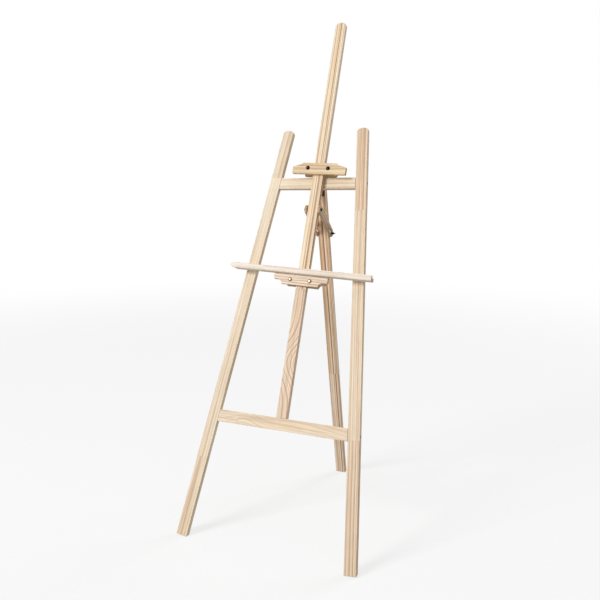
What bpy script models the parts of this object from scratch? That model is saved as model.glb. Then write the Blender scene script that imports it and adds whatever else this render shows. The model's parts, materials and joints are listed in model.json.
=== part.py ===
"""Tripod field easel in unfinished pine, modelled as its separate pieces.

Units are metres, +Z is up and the easel faces -Y. The origin is on the floor, at the middle of
the footprint. Two splayed front legs and two crossbars make a frame that leans back. A mast
stands on the lower crossbar and passes in front of the upper one. A rear leg hangs from a
hinge on the upper crossbar, and two slotted struts hold it open. A canvas clamp and a tray,
each a pair of plates drawn together by two bolts with wing nuts, slide along the mast.
"""

import math

import bmesh
import bpy
from mathutils import Euler, Matrix, Vector

# ---------------------------------------------------------------- driving dimensions
GAP = 0.0003                       # clearance kept between touching pieces

LEAN = math.radians(20.95)         # front frame, from the vertical
FRONT_Y = -0.3162                  # foot line of the front frame
FLOOR_LIFT = 0.00184               # lifts the frame so that the feet's inner corners touch z = 0

STOCK_W = 0.035                    # planed pine batten, width and thickness
STOCK_T = 0.014
LEG_FOOT_U = 0.2608                # leg centre line: half spread at the floor
LEG_TOP_U = 0.1223                 # ... and at the top
LEG_TOP_V = 1.2637                 # distance up the leaning plane
LEG_ARCH = 0.010                   # rise of the rounded leg top
UPPER_BAR_V = 1.0866
LOWER_BAR_V = 0.3565

MAST_W = 0.034
MAST_T = 0.014
MAST_TOP = 1.256                   # from the lower crossbar's centre line
MAST_ARCH = 0.011
MAST_FOOT_U = -0.0003
MAST_LEAN_U = math.radians(0.526)  # the mast leans slightly to the right

PIN_U = 0.004                      # rear leg hinge pin, in the leaning plane's frame
PIN_D = 0.0175
PIN_V = 1.0726
OPEN_ANGLE = math.radians(33.1)    # rear leg to front frame when open
REAR_W = 0.034
REAR_T = 0.016
REAR_SKEW = math.radians(0.242)
REAR_FACE = 0.0022                 # leg's front face behind the pin
HINGE_HALF = 0.015
BARREL_R = 0.0027
PIN_R = 0.0015
LEAF_T = 0.0012
LEAF_END = 0.021

PIVOT_D = -0.0055                  # brace pivot through the mast
PIVOT_V = 1.0000
CLAMP_R = 0.140                    # brace clamp bolt, down the rear leg from the pin
STRUT_ANGLE = math.radians(71.19)  # strut direction at rest, from the leaning plane
STRUT_R = 0.013
STRUT_T = 0.006
STRUT_LEFT_U = (-0.0201, -0.0141)
STRUT_RIGHT_U = (0.0230, 0.0290)
SLOT_NEAR = 0.0761
SLOT_FAR = 0.1150
SLOT_R = 0.0050
BRACE_BOLT_R = 0.0025

PLATE_END = 0.087                  # half length of the clamp's and tray's front plates
REAR_PLATE_END = 0.071             # ... and of the shorter plates behind the mast
PLATE_T = 0.010
CLAMP_BOLTS = (-0.0366, 0.0292)    # the two bolts pass either side of the mast
TRAY_BOLTS = (-0.0323, 0.0309)
BOLT_R = 0.0030
BOLT_HOLE_R = 0.0033
CLAMP_S = 0.7684                   # bolt line, up the mast from the lower crossbar
CLAMP_Q = 0.0042
TRAY_S = 0.4204
TRAY_Q = -0.0023
SLIDER_ROLL = math.radians(2.0)    # both sliders sit slightly out of square on the mast

BAR_L = 0.4545                     # tray ledge bar
BAR_Q = -0.0070
BAR_DEPTH = 0.0235
BAR_LIP_T = 0.010
BAR_LIP_H = 0.0168
BAR_LEDGE_H = 0.0102
BAR_BOTTOM = 0.0165
BAR_ROUND = 0.0035                 # rounding along the lower front edge

# ---------------------------------------------------------------- scene and helpers
for ob in list(bpy.data.objects):
    bpy.data.objects.remove(ob, do_unlink=True)

scene = bpy.context.scene
easel = bpy.data.collections.new("tripod_field_easel")
tools = bpy.data.collections.new("cutters")
scene.collection.children.link(easel)
scene.collection.children.link(tools)

PINE = (0.80, 0.62, 0.43)
PINE_SHADE = (0.66, 0.47, 0.29)
ZINC = (0.55, 0.50, 0.38)
BLACK_STEEL = (0.025, 0.024, 0.022)
STEEL = (0.42, 0.41, 0.39)
BRONZE = (0.20, 0.15, 0.10)


def material(name, colour, roughness, metallic):
    mat = bpy.data.materials.new(name)
    mat.use_nodes = True
    shader = mat.node_tree.nodes["Principled BSDF"]
    shader.inputs["Base Color"].default_value = (*colour, 1.0)
    shader.inputs["Roughness"].default_value = roughness
    shader.inputs["Metallic"].default_value = metallic
    return mat


def finish(ob, kind):
    """Gives a sub-part its own material."""
    colour, rough, metal = {
        "pine": (PINE, 0.62, 0.0),
        "pine_dark": (PINE_SHADE, 0.62, 0.0),
        "zinc": (ZINC, 0.38, 1.0),
        "black": (BLACK_STEEL, 0.45, 1.0),
        "steel": (STEEL, 0.35, 1.0),
        "bronze": (BRONZE, 0.42, 1.0),
    }[kind]
    ob.data.materials.clear()
    ob.data.materials.append(material(ob.name + "_" + kind, colour, rough, metal))
    return ob


def frame_empty(name, parent, location, rotation):
    ob = bpy.data.objects.new(name, None)
    easel.objects.link(ob)
    ob.parent = parent
    ob.location = location
    ob.rotation_euler = rotation
    ob.empty_display_size = 0.03
    return ob


def place(ob, parent, location=(0, 0, 0), rotation=(0, 0, 0), cutter=False):
    for coll in list(ob.users_collection):
        coll.objects.unlink(ob)
    (tools if cutter else easel).objects.link(ob)
    ob.parent = parent
    ob.location = location
    ob.rotation_euler = rotation
    if cutter:
        ob.hide_render = True
        ob.display_type = "WIRE"
    return ob


def box(name, low, high, parent, cutter=False):
    bpy.ops.mesh.primitive_cube_add(size=1.0)
    ob = bpy.context.active_object
    ob.name = ob.data.name = name
    size = Vector(high) - Vector(low)
    ob.data.transform(Matrix.Diagonal((*size, 1.0)))
    return place(ob, parent, (Vector(high) + Vector(low)) / 2, cutter=cutter)


def rod(name, radius, start, end, parent, sides=16, cutter=False):
    """A cylinder between two points of the parent's frame."""
    start, end = Vector(start), Vector(end)
    bpy.ops.mesh.primitive_cylinder_add(vertices=sides, radius=radius, depth=(end - start).length)
    ob = bpy.context.active_object
    ob.name = ob.data.name = name
    turn = (end - start).to_track_quat("Z", "Y").to_euler()
    place(ob, parent, (start + end) / 2, turn, cutter=cutter)
    if not cutter:
        ob.data.shade_smooth()
        ob.data.set_sharp_from_angle(angle=math.radians(40))
    return ob


AXES = {
    "XY": Matrix.Identity(4),
    "XZ": Matrix.Rotation(math.radians(90), 4, "X"),
    "YZ": Matrix(((0, 0, 1, 0), (1, 0, 0, 0), (0, 1, 0, 0), (0, 0, 0, 1))),
}


def outline(name, loops, thickness, parent, location=(0, 0, 0), plane="XZ", cutter=False):
    """A flat piece cut to an outline, with holes where further loops say, as a welded mesh."""
    curve = bpy.data.curves.new(name, "CURVE")
    curve.dimensions = "2D"
    curve.fill_mode = "BOTH"
    curve.extrude = thickness / 2
    for loop in loops:
        spline = curve.splines.new("POLY")
        spline.points.add(len(loop) - 1)
        for point, (x, y) in zip(spline.points, loop):
            point.co = (x, y, 0.0, 1.0)
        spline.use_cyclic_u = True
    flat = bpy.data.objects.new(name + "_curve", curve)
    scene.collection.objects.link(flat)
    bpy.context.view_layer.update()
    mesh = bpy.data.meshes.new_from_object(flat.evaluated_get(bpy.context.evaluated_depsgraph_get()))
    bm = bmesh.new()
    bm.from_mesh(mesh)
    bmesh.ops.remove_doubles(bm, verts=bm.verts, dist=0.00001)
    bmesh.ops.recalc_face_normals(bm, faces=bm.faces)
    bm.to_mesh(mesh)
    bm.free()
    mesh.name = name
    mesh.transform(AXES[plane])
    bpy.data.objects.remove(flat, do_unlink=True)
    bpy.data.curves.remove(curve)
    ob = bpy.data.objects.new(name, mesh)
    easel.objects.link(ob)
    return place(ob, parent, location, cutter=cutter)


def turned(name, profile, parent, location, rotation, steps=16, closed=False):
    """A turned piece: the profile runs down its outer side from top to bottom."""
    mesh = bpy.data.meshes.new(name)
    bm = bmesh.new()
    verts = [bm.verts.new((r, 0.0, z)) for r, z in profile]
    pairs = list(zip(verts, verts[1:])) + ([(verts[-1], verts[0])] if closed else [])
    for pair in pairs:
        bm.edges.new(pair)
    bm.to_mesh(mesh)
    bm.free()
    ob = bpy.data.objects.new(name, mesh)
    easel.objects.link(ob)
    screw = ob.modifiers.new("turn", "SCREW")
    screw.axis = "Z"
    screw.steps = screw.render_steps = steps
    screw.use_merge_vertices = True
    screw.merge_threshold = 0.00005
    screw.use_smooth_shade = True
    return place(ob, parent, location, rotation)


def combine(ob, other, operation):
    mod = ob.modifiers.new(operation.lower() + "_" + other.name, "BOOLEAN")
    mod.operation = operation
    mod.solver = "EXACT"
    mod.object = other
    return ob


def drill(name, radius, start, end, parent, *pieces, sides=16):
    hole = rod("cut_" + name, radius, start, end, parent, sides, cutter=True)
    for piece in pieces:
        combine(piece, hole, "DIFFERENCE")
    return hole


def arc(cx, cy, rx, ry, start, end, count):
    """Points along an elliptical arc, angles in degrees."""
    points = []
    for i in range(count + 1):
        a = math.radians(start + (end - start) * i / count)
        points.append((cx + rx * math.cos(a), cy + ry * math.sin(a)))
    return points


def circle(cx, cy, r, count=16):
    return arc(cx, cy, r, r, 0, 360 * (count - 1) / count, count - 1)


def baked(ob, name):
    """The evaluated mesh of a template piece, so that its copies can share it."""
    bpy.context.view_layer.update()
    mesh = bpy.data.meshes.new_from_object(ob.evaluated_get(bpy.context.evaluated_depsgraph_get()))
    mesh.name = name
    return mesh


def copy_of(mesh, name, parent, location, rotation, kind):
    ob = bpy.data.objects.new(name, mesh.copy())
    ob.data.name = name
    easel.objects.link(ob)
    place(ob, parent, location, rotation)
    return finish(ob, kind)


TO_PLUS_X = (0.0, math.radians(90), 0.0)    # turned pieces point along +X, -X, +Y or -Y
TO_MINUS_X = (0.0, math.radians(-90), 0.0)
TO_PLUS_Y = (math.radians(-90), 0.0, 0.0)
TO_MINUS_Y = (math.radians(90), 0.0, 0.0)

# ---------------------------------------------------------------- reference frames
# The leaning frame has X to the right, Y backwards through the plane and Z up the plane.
lean = frame_empty("lean_frame", None, (0, FRONT_Y, FLOOR_LIFT), (-LEAN, 0, 0))
BAR_EDGE = UPPER_BAR_V - STOCK_W / 2
MAST_TILT = math.asin((MAST_T + GAP) / (BAR_EDGE - LOWER_BAR_V))
mast_frame = frame_empty("mast_frame", lean, (MAST_FOOT_U, 0, LOWER_BAR_V), (MAST_TILT, MAST_LEAN_U, 0))
clamp_frame = frame_empty("clamp_slide", mast_frame, (CLAMP_Q, 0, CLAMP_S), (0, SLIDER_ROLL, 0))
tray_frame = frame_empty("tray_slide", mast_frame, (TRAY_Q, 0, TRAY_S), (0, SLIDER_ROLL, 0))
pin_frame = frame_empty("rear_leg_pin", lean, (PIN_U, PIN_D, PIN_V), (OPEN_ANGLE, 0, 0))
fixed_frame = frame_empty("fixed_leaf_frame", lean, (PIN_U, PIN_D, PIN_V), (0, 0, 0))
strut_frame = frame_empty("strut_pivot", lean, (0, PIVOT_D, PIVOT_V), (STRUT_ANGLE, 0, 0))

# ---------------------------------------------------------------- front legs
SPLAY = (LEG_FOOT_U - LEG_TOP_U) / LEG_TOP_V
SPLAY_ANGLE = math.atan(SPLAY)
LEG_LEN = LEG_TOP_V / math.cos(SPLAY_ANGLE)


def leg_centre(v):
    return LEG_FOOT_U - SPLAY * v


def front_leg(name, side):
    half = STOCK_W / 2
    top = LEG_LEN - LEG_ARCH
    loop = [(-half, -0.02), (half, -0.02)] + arc(0, top, half, LEG_ARCH, 0, 180, 12)
    leg = outline(name, [loop], STOCK_T, lean, (side * LEG_FOOT_U, STOCK_T / 2, 0))
    leg.rotation_euler = (0, -side * SPLAY_ANGLE, 0)
    # the foot is sawn square across the leg, and level from front to back
    saw = box("cut_" + name + "_foot", (-0.05, -0.05, -0.06), (0.05, 0.06, 0.0), None, cutter=True)
    saw.data.transform(Matrix.Translation((0, 0, -0.03)))
    saw.location = (side * LEG_FOOT_U, FRONT_Y, FLOOR_LIFT)
    saw.rotation_euler = (0, -side * math.atan(math.tan(SPLAY_ANGLE) * math.cos(LEAN)), 0)
    combine(leg, saw, "DIFFERENCE")
    return finish(leg, "pine")


left_leg = front_leg("left_leg", -1)
right_leg = front_leg("right_leg", 1)


# ---------------------------------------------------------------- crossbars, butted between the legs
def crossbar(name, v):
    half_w = STOCK_W / 2 / math.cos(SPLAY_ANGLE)
    low, high = v - STOCK_W / 2, v + STOCK_W / 2

    def reach(at):
        return leg_centre(at) - half_w - GAP

    loop = [(-reach(low), low), (reach(low), low), (reach(high), high), (-reach(high), high)]
    return finish(outline(name, [loop], STOCK_T, lean, (0, STOCK_T / 2, 0)), "pine")


upper_crossbar = crossbar("upper_crossbar", UPPER_BAR_V)
lower_crossbar = crossbar("lower_crossbar", LOWER_BAR_V)

# ---------------------------------------------------------------- mast
half = MAST_W / 2
loop = [(-half, STOCK_W / 2 + 2 * GAP), (half, STOCK_W / 2 + 2 * GAP)]
loop += arc(0, MAST_TOP - MAST_ARCH, half, MAST_ARCH, 0, 180, 12)
mast = finish(outline("mast", [loop], MAST_T, mast_frame, (0, MAST_T / 2, 0)), "pine")

# ---------------------------------------------------------------- rear leg
rear_leg = box("rear_leg", (-REAR_W / 2, REAR_FACE, -1.08), (REAR_W / 2, REAR_FACE + REAR_T, -0.0032), pin_frame)
rear_leg.data.transform(Matrix.Translation(rear_leg.location))
rear_leg.location = (0, 0, 0)
rear_leg.rotation_euler = (0, REAR_SKEW, 0)
floor_saw = box("cut_rear_leg_foot", (-0.2, 0.1, -0.15), (0.2, 0.5, 0.0), None, cutter=True)
combine(rear_leg, floor_saw, "DIFFERENCE")
finish(rear_leg, "pine_dark")

# ---------------------------------------------------------------- butt hinge of the rear leg
KNUCKLE = 0.0049


def hinge_leaf(name, frame, direction, parts, plate_y):
    plate = box(name, (-HINGE_HALF, plate_y, min(direction * 0.0033, direction * LEAF_END)),
                (HINGE_HALF, plate_y + LEAF_T, max(direction * 0.0033, direction * LEAF_END)), frame)
    for i, (x0, x1) in enumerate(parts):
        tab = box(f"{name}_tab{i}", (x0, plate_y, min(0, direction * 0.005)),
                  (x1, plate_y + LEAF_T, max(0, direction * 0.005)), frame, cutter=True)
        barrel = rod(f"{name}_barrel{i}", BARREL_R, (x0, 0, 0), (x1, 0, 0), frame, 20, cutter=True)
        combine(plate, tab, "UNION")
        combine(plate, barrel, "UNION")
    drill(name + "_bore", PIN_R + GAP, (-0.02, 0, 0), (0.02, 0, 0), frame, plate)
    return plate


fixed_leaf = hinge_leaf("hinge_fixed_leaf", fixed_frame, 1,
                        [(-HINGE_HALF, -KNUCKLE - GAP), (KNUCKLE + GAP, HINGE_HALF)], -0.0032)
moving_leaf = hinge_leaf("hinge_moving_leaf", pin_frame, -1, [(-KNUCKLE, KNUCKLE)], 0.0007)

hinge_pin = turned("hinge_pin",
                   [(0.0, 0.0163), (0.0016, 0.0163), (0.0022, 0.0159), (0.0022, 0.0154), (PIN_R, 0.0153),
                    (PIN_R, -0.0153), (0.0022, -0.0154), (0.0022, -0.0159), (0.0016, -0.0163), (0.0, -0.0163)],
                   fixed_frame, (0, 0, 0), TO_PLUS_X, steps=14)
finish(hinge_pin, "bronze")


def screw_profile(shaft_r, length, head_r, head_h):
    """Domed head above z = 0 and a pointed shaft below it."""
    dome = [(head_r * math.sin(a), head_h * math.cos(a)) for a in (0.0, 0.55, 1.1)]
    return dome + [(head_r, 0.0), (shaft_r, 0.0), (shaft_r, -length + 2 * shaft_r), (0.0003, -length), (0.0, -length)]


def flush_profile(shaft_r, length, head_r, head_h):
    """Flat countersunk head whose top is at z = 0."""
    return [(0.0, 0.0), (head_r, 0.0), (head_r, -head_h * 0.25), (shaft_r, -head_h),
            (shaft_r, -length + 2 * shaft_r), (0.0003, -length), (0.0, -length)]


LEAF_SCREW = screw_profile(0.0015, 0.0115, 0.0028, 0.0013)
LEAF_SCREW_X = 0.010
LEAF_SCREW_Z = 0.0135
for side, word in ((-1, "left"), (1, "right")):
    x = side * LEAF_SCREW_X
    screw = turned(f"hinge_crossbar_screw_{word}", LEAF_SCREW, fixed_frame,
                   (x, -0.0032 + LEAF_T + GAP, LEAF_SCREW_Z), TO_PLUS_Y, steps=12)
    finish(screw, "bronze")
    drill(f"crossbar_screw_{word}", 0.0018, (x, 0.004, LEAF_SCREW_Z), (x, -0.0145, LEAF_SCREW_Z), fixed_frame,
          fixed_leaf, upper_crossbar, sides=12)
    screw = turned(f"hinge_leg_screw_{word}", LEAF_SCREW, pin_frame, (x, 0.0007 - GAP, -LEAF_SCREW_Z),
                   TO_MINUS_Y, steps=12)
    finish(screw, "bronze")
    drill(f"leg_screw_{word}", 0.0018, (x, -0.004, -LEAF_SCREW_Z), (x, 0.0130, -LEAF_SCREW_Z), pin_frame,
          moving_leaf, rear_leg, sides=12)
finish(fixed_leaf, "bronze")
finish(moving_leaf, "bronze")

# ---------------------------------------------------------------- long screws through the legs into the crossbars
for bar, word_v, v in ((upper_crossbar, "upper", UPPER_BAR_V), (lower_crossbar, "lower", LOWER_BAR_V)):
    outer = leg_centre(v) + STOCK_W / 2 / math.cos(SPLAY_ANGLE)
    for side, word, leg, way in ((-1, "left", left_leg, TO_MINUS_X), (1, "right", right_leg, TO_PLUS_X)):
        head_u = side * (outer - 0.0018)
        screw = turned(f"{word_v}_crossbar_screw_{word}", flush_profile(0.0020, 0.060, 0.0038, 0.0030), lean,
                       (head_u, STOCK_T / 2, v), way, steps=14)
        finish(screw, "black")
        drill(f"{word_v}_{word}_shaft", 0.0023, (side * (outer + 0.01), STOCK_T / 2, v),
              (head_u - side * 0.0610, STOCK_T / 2, v), lean, leg, bar, sides=14)
        drill(f"{word_v}_{word}_head", 0.0042, (side * (outer + 0.01), STOCK_T / 2, v),
              (head_u - side * 0.0034, STOCK_T / 2, v), lean, leg, sides=18)

# ---------------------------------------------------------------- screws that hold the mast
MAST_SCREW_U = 0.0064
for word, v in (("low", 1.0768), ("high", 1.0988)):
    screw = turned(f"mast_top_screw_{word}", flush_profile(0.00175, 0.0235, 0.0030, 0.0024), lean,
                   (MAST_SCREW_U, STOCK_T - 0.0003, v), TO_PLUS_Y, steps=12)
    finish(screw, "steel")
    drill(f"mast_top_{word}", 0.0021, (MAST_SCREW_U, STOCK_T + 0.004, v), (MAST_SCREW_U, -0.0105, v), lean,
          upper_crossbar, mast, sides=12)
    drill(f"mast_top_{word}_head", 0.0034, (MAST_SCREW_U, STOCK_T + 0.004, v), (MAST_SCREW_U, STOCK_T - 0.0031, v),
          lean, upper_crossbar, sides=14)
low_edge = LOWER_BAR_V - STOCK_W / 2
screw = turned("mast_foot_screw", flush_profile(0.0020, 0.056, 0.0038, 0.0030), lean,
               (MAST_FOOT_U, STOCK_T / 2, low_edge + 0.0006), (math.radians(180), 0, 0), steps=14)
finish(screw, "steel")
drill("mast_foot", 0.0023, (MAST_FOOT_U, STOCK_T / 2, low_edge - 0.01), (MAST_FOOT_U, STOCK_T / 2, low_edge + 0.0576),
      lean, lower_crossbar, mast, sides=14)
drill("mast_foot_head", 0.0042, (MAST_FOOT_U, STOCK_T / 2, low_edge - 0.01),
      (MAST_FOOT_U, STOCK_T / 2, low_edge + 0.0040), lean, lower_crossbar, sides=18)


# ---------------------------------------------------------------- hardware shared by the brace, clamp and tray
def washer(name, inner, outer, thickness, parent, location, rotation, kind):
    profile = [(outer, thickness), (outer, 0.0), (inner, 0.0), (inner, thickness)]
    return finish(turned(name, profile, parent, location, rotation, steps=20, closed=True), kind)


def dome_bolt(name, shaft_r, length, head_r, head_h, parent, location, rotation, kind):
    dome = [(head_r * math.sin(a), head_h * (0.25 + 0.75 * math.cos(a))) for a in (0.0, 0.4, 0.8, 1.2)]
    profile = dome + [(head_r, head_h * 0.25), (head_r, 0.0), (shaft_r, 0.0), (shaft_r, -length + 0.0008),
                      (shaft_r - 0.0008, -length), (0.0, -length)]
    return finish(turned(name, profile, parent, location, rotation, steps=20), kind)


def wing_nut_mesh(name, bore_r, hub_r, hub_h, span, rise):
    """Tapered hub with two swept wings; its seat is at z = 0 and its axis is Z."""
    profile = [(hub_r * 0.78, hub_h), (hub_r, 0.0), (bore_r * 0.5, 0.0), (bore_r * 0.5, hub_h)]
    hub = turned(name + "_template", profile, None, (0, 0, 0), (0, 0, 0), steps=18, closed=True)
    wing = [(hub_r * 0.55, hub_h * 0.16), (hub_r * 1.15, hub_h * 0.22)]
    wing += arc(span - 0.0036, hub_h * 0.9, 0.0030, hub_h * 0.62, -70, 0, 3)[1:]
    wing += arc(span - 0.0022, rise - 0.0022, 0.0022, 0.0022, 0, 170, 5)
    wing += [(hub_r * 0.98, hub_h * 0.98), (hub_r * 0.55, hub_h * 0.86)]
    cutters = []
    for side, word in ((1, "a"), (-1, "b")):
        loop = [(side * x, z) for x, z in wing]
        if side < 0:
            loop.reverse()
        blade = outline(f"{name}_wing_{word}", [loop], 0.0022, None, cutter=True)
        combine(hub, blade, "UNION")
        cutters.append(blade)
    bore = rod(name + "_bore", bore_r, (0, 0, -0.01), (0, 0, 0.03), None, 18, cutter=True)
    combine(hub, bore, "DIFFERENCE")
    mesh = baked(hub, name)
    for ob in [hub, bore] + cutters:
        bpy.data.objects.remove(ob, do_unlink=True)
    return mesh


# ---------------------------------------------------------------- brace: two slotted struts, pivot bolt, clamp bolt
def strut(name, u_range):
    body = arc(0, 0, STRUT_R, STRUT_R, 0, 180, 10) + arc(0, -SLOT_FAR, STRUT_R, STRUT_R, 180, 360, 10)
    slot = arc(0, -SLOT_NEAR, SLOT_R, SLOT_R, 0, 180, 8) + arc(0, -SLOT_FAR, SLOT_R, SLOT_R, 180, 360, 8)
    centre = (u_range[0] + u_range[1]) / 2
    piece = outline(name, [body, circle(0, 0, BRACE_BOLT_R + GAP, 14), slot], u_range[1] - u_range[0],
                    strut_frame, (centre, 0, 0), plane="YZ")
    return finish(piece, "pine_dark")


strut("brace_left_strut", STRUT_LEFT_U)
strut("brace_right_strut", STRUT_RIGHT_U)

drill("brace_pivot", BRACE_BOLT_R + GAP, (-0.05, PIVOT_D, PIVOT_V), (0.05, PIVOT_D, PIVOT_V), lean, mast, sides=14)
left_face, right_face = STRUT_LEFT_U[0], STRUT_RIGHT_U[1]
dome_bolt("brace_pivot_bolt", BRACE_BOLT_R, right_face - left_face + 2 * GAP + 0.0056, 0.0050, 0.0030, lean,
          (right_face + GAP, PIVOT_D, PIVOT_V), TO_PLUS_X, "black")
bpy.ops.mesh.primitive_cylinder_add(vertices=6, radius=0.0046, depth=0.0040)
pivot_nut = bpy.context.active_object
pivot_nut.name = "brace_pivot_nut"
place(pivot_nut, lean, (left_face - GAP - 0.0020, PIVOT_D, PIVOT_V), TO_PLUS_X)
drill("pivot_nut_bore", BRACE_BOLT_R + GAP, (-0.04, PIVOT_D, PIVOT_V), (0, PIVOT_D, PIVOT_V), lean, pivot_nut, sides=14)
finish(pivot_nut, "black")
washer("brace_pivot_spacer", BRACE_BOLT_R + GAP, 0.0060, 0.0021, lean, (STRUT_LEFT_U[1] + GAP, PIVOT_D, PIVOT_V),
       TO_PLUS_X, "steel")

bolt_y = REAR_FACE + REAR_T / 2
drill("rear_clamp", BRACE_BOLT_R + GAP, (-0.05, bolt_y, -CLAMP_R), (0.05, bolt_y, -CLAMP_R), pin_frame, rear_leg, sides=14)
WASHER_T = 0.0012
pin_shift = -PIN_U                 # the pin's frame starts at the pin's middle
dome_bolt("brace_clamp_bolt", BRACE_BOLT_R, right_face - left_face + 3 * GAP + WASHER_T + 0.0088, 0.0052, 0.0030, pin_frame,
          (left_face - WASHER_T - 2 * GAP + pin_shift, bolt_y, -CLAMP_R), TO_MINUS_X, "black")
washer("brace_washer_left", BRACE_BOLT_R + GAP, 0.0066, WASHER_T, pin_frame,
       (left_face - GAP - WASHER_T + pin_shift, bolt_y, -CLAMP_R), TO_PLUS_X, "steel")
washer("brace_washer_right", BRACE_BOLT_R + GAP, 0.0066, WASHER_T, pin_frame,
       (right_face + GAP + pin_shift, bolt_y, -CLAMP_R), TO_PLUS_X, "steel")
washer("brace_clamp_spacer", BRACE_BOLT_R + GAP, 0.0060, 0.0020, pin_frame,
       (0.0207 + pin_shift, bolt_y, -CLAMP_R), TO_PLUS_X, "steel")
small_wing = wing_nut_mesh("small_wing_nut", BRACE_BOLT_R + GAP, 0.0044, 0.0052, 0.0090, 0.0082)
copy_of(small_wing, "brace_wing_nut", pin_frame,
        (right_face + 2 * GAP + WASHER_T + pin_shift, bolt_y, -CLAMP_R), (0, math.radians(90), 0), "black")
bpy.data.objects["brace_wing_nut"].rotation_euler = (
    Matrix.Rotation(math.radians(78), 3, "X") @ Euler(TO_PLUS_X).to_matrix()).to_euler()


# ---------------------------------------------------------------- canvas clamp and tray plates
def plate_loop(end, flat, height, cove, up, swept=False):
    """Plate outline: a straight edge at z = 0, shoulders on the other edge.

    A shoulder is a quarter cove with a level tip, or one long hollow sweep out to the end.
    """
    r = 0.0025
    right = arc(end - r, r, r, r, -90, 0, 3)
    if swept:
        right += [(end, height - cove - 0.0008), (end - 0.0008, height - cove)]
        right += [(flat + (end - flat) * t, height - cove * t ** 0.58) for t in (0.75, 0.5, 0.3, 0.15, 0.05, 0.0)]
    else:
        tip = height - cove - 0.0002
        right += arc(end - r, tip - r, r, r, 0, 86, 3)
        right += list(reversed(arc(flat + cove, height, cove, cove, 180, 268, 7)))
    loop = right + [(-x, z) for x, z in reversed(right)]
    if not up:
        loop = [(x, -z) for x, z in reversed(loop)]
    return loop


def slider_plate(name, frame, bolts, shape, flat_z, shift, front):
    loop = [(x + shift, z + flat_z) for x, z in plate_loop(*shape)]
    holes = [circle(x, 0, BOLT_HOLE_R) for x in bolts]
    y = -GAP - PLATE_T / 2 if front else MAST_T + GAP + PLATE_T / 2
    return finish(outline(name, [loop] + holes, PLATE_T, frame, (0, y, 0)), "pine")


slider_plate("clamp_front_plate", clamp_frame, CLAMP_BOLTS, (PLATE_END, 0.0555, 0.0345, 0.0122, True, True), -0.0180, 0.0, True)
slider_plate("clamp_rear_plate", clamp_frame, CLAMP_BOLTS, (REAR_PLATE_END, 0.0510, 0.0345, 0.0120, False), 0.0168, -0.0025, False)
BRACKET_TOP = BAR_BOTTOM - GAP
front_bracket = slider_plate("tray_front_bracket", tray_frame, TRAY_BOLTS, (PLATE_END, 0.0595, 0.0315, 0.0128, False),
                             BRACKET_TOP, 0.0, True)
slider_plate("tray_rear_bracket", tray_frame, TRAY_BOLTS, (REAR_PLATE_END, 0.0500, 0.0317, 0.0120, False),
             BRACKET_TOP, 0.0, False)

big_wing = wing_nut_mesh("large_wing_nut", BOLT_HOLE_R, 0.0055, 0.0068, 0.0100, 0.0112)
for slider, frame, bolts, head_kind, nut_kind, turns in (
        ("clamp", clamp_frame, CLAMP_BOLTS, "black", "black", (25, -40)),
        ("tray", tray_frame, TRAY_BOLTS, "zinc", "zinc", (70, 12))):
    for x, word, turn in ((bolts[0], "left", turns[0]), (bolts[1], "right", turns[1])):
        back = MAST_T + GAP + PLATE_T
        dome_bolt(f"{slider}_bolt_{word}", BOLT_R, back + PLATE_T + 3 * GAP + WASHER_T + 0.0100, 0.0060, 0.0032, frame,
                  (x, -PLATE_T - 2 * GAP, 0), TO_MINUS_Y, head_kind)
        washer(f"{slider}_washer_{word}", BOLT_HOLE_R, 0.0075, WASHER_T, frame, (x, back + GAP, 0), TO_PLUS_Y, nut_kind)
        nut = copy_of(big_wing, f"{slider}_wing_nut_{word}", frame, (x, back + 2 * GAP + WASHER_T, 0), TO_PLUS_Y, nut_kind)
        nut.rotation_euler = (Matrix.Rotation(math.radians(turn), 3, "Y") @ Euler(TO_PLUS_Y).to_matrix()).to_euler()

# ---------------------------------------------------------------- tray ledge bar
front, rear = -GAP - BAR_DEPTH, -GAP
ledge_top, lip_top = BAR_BOTTOM + BAR_LEDGE_H, BAR_BOTTOM + BAR_LIP_H
profile = arc(front + BAR_ROUND, BAR_BOTTOM + BAR_ROUND, BAR_ROUND, BAR_ROUND, 180, 270, 4)
profile += [(rear, BAR_BOTTOM), (rear, ledge_top), (front + BAR_LIP_T, ledge_top), (front + BAR_LIP_T, lip_top),
            (front + 0.0015, lip_top), (front, lip_top - 0.0015)]
tray_bar = outline("tray_bar", [profile], BAR_L, tray_frame, (BAR_Q, 0, 0), plane="YZ")
mid = (BAR_BOTTOM + lip_top) / 2
tall = BAR_LIP_H / 2
end = BAR_L / 2
ends = arc(end - 0.0015, BAR_BOTTOM + 0.0015, 0.0015, 0.0015, -90, 0, 2)
ends += arc(end - 0.0015, lip_top - 0.0015, 0.0015, 0.0015, 0, 90, 2)
ends += arc(-end + 0.010, mid + 0.001, 0.010, tall - 0.001, 90, 180, 6)
ends += arc(-end + 0.021, mid + 0.001, 0.021, tall + 0.001, 180, 270, 7)[1:]
end_shape = outline("cut_tray_bar_ends", [ends], 0.06, tray_frame, (BAR_Q, (front + rear) / 2, 0), cutter=True)
combine(tray_bar, end_shape, "INTERSECT")
finish(tray_bar, "pine")
for side, word in ((-1, "left"), (1, "right")):
    x = side * 0.048
    y = -GAP - PLATE_T / 2
    screw = turned(f"tray_ledge_screw_{word}", flush_profile(0.0015, 0.0270, 0.0028, 0.0020), tray_frame,
                   (x, y, ledge_top - 0.0003), (0, 0, 0), steps=12)
    finish(screw, "steel")
    drill(f"ledge_{word}", 0.0018, (x, y, ledge_top + 0.01), (x, y, ledge_top - 0.0280), tray_frame,
          tray_bar, front_bracket, sides=12)
    drill(f"ledge_{word}_head", 0.0031, (x, y, ledge_top + 0.005), (x, y, ledge_top - 0.0026), tray_frame,
          tray_bar, sides=14)

bpy.context.view_layer.update()
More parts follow.
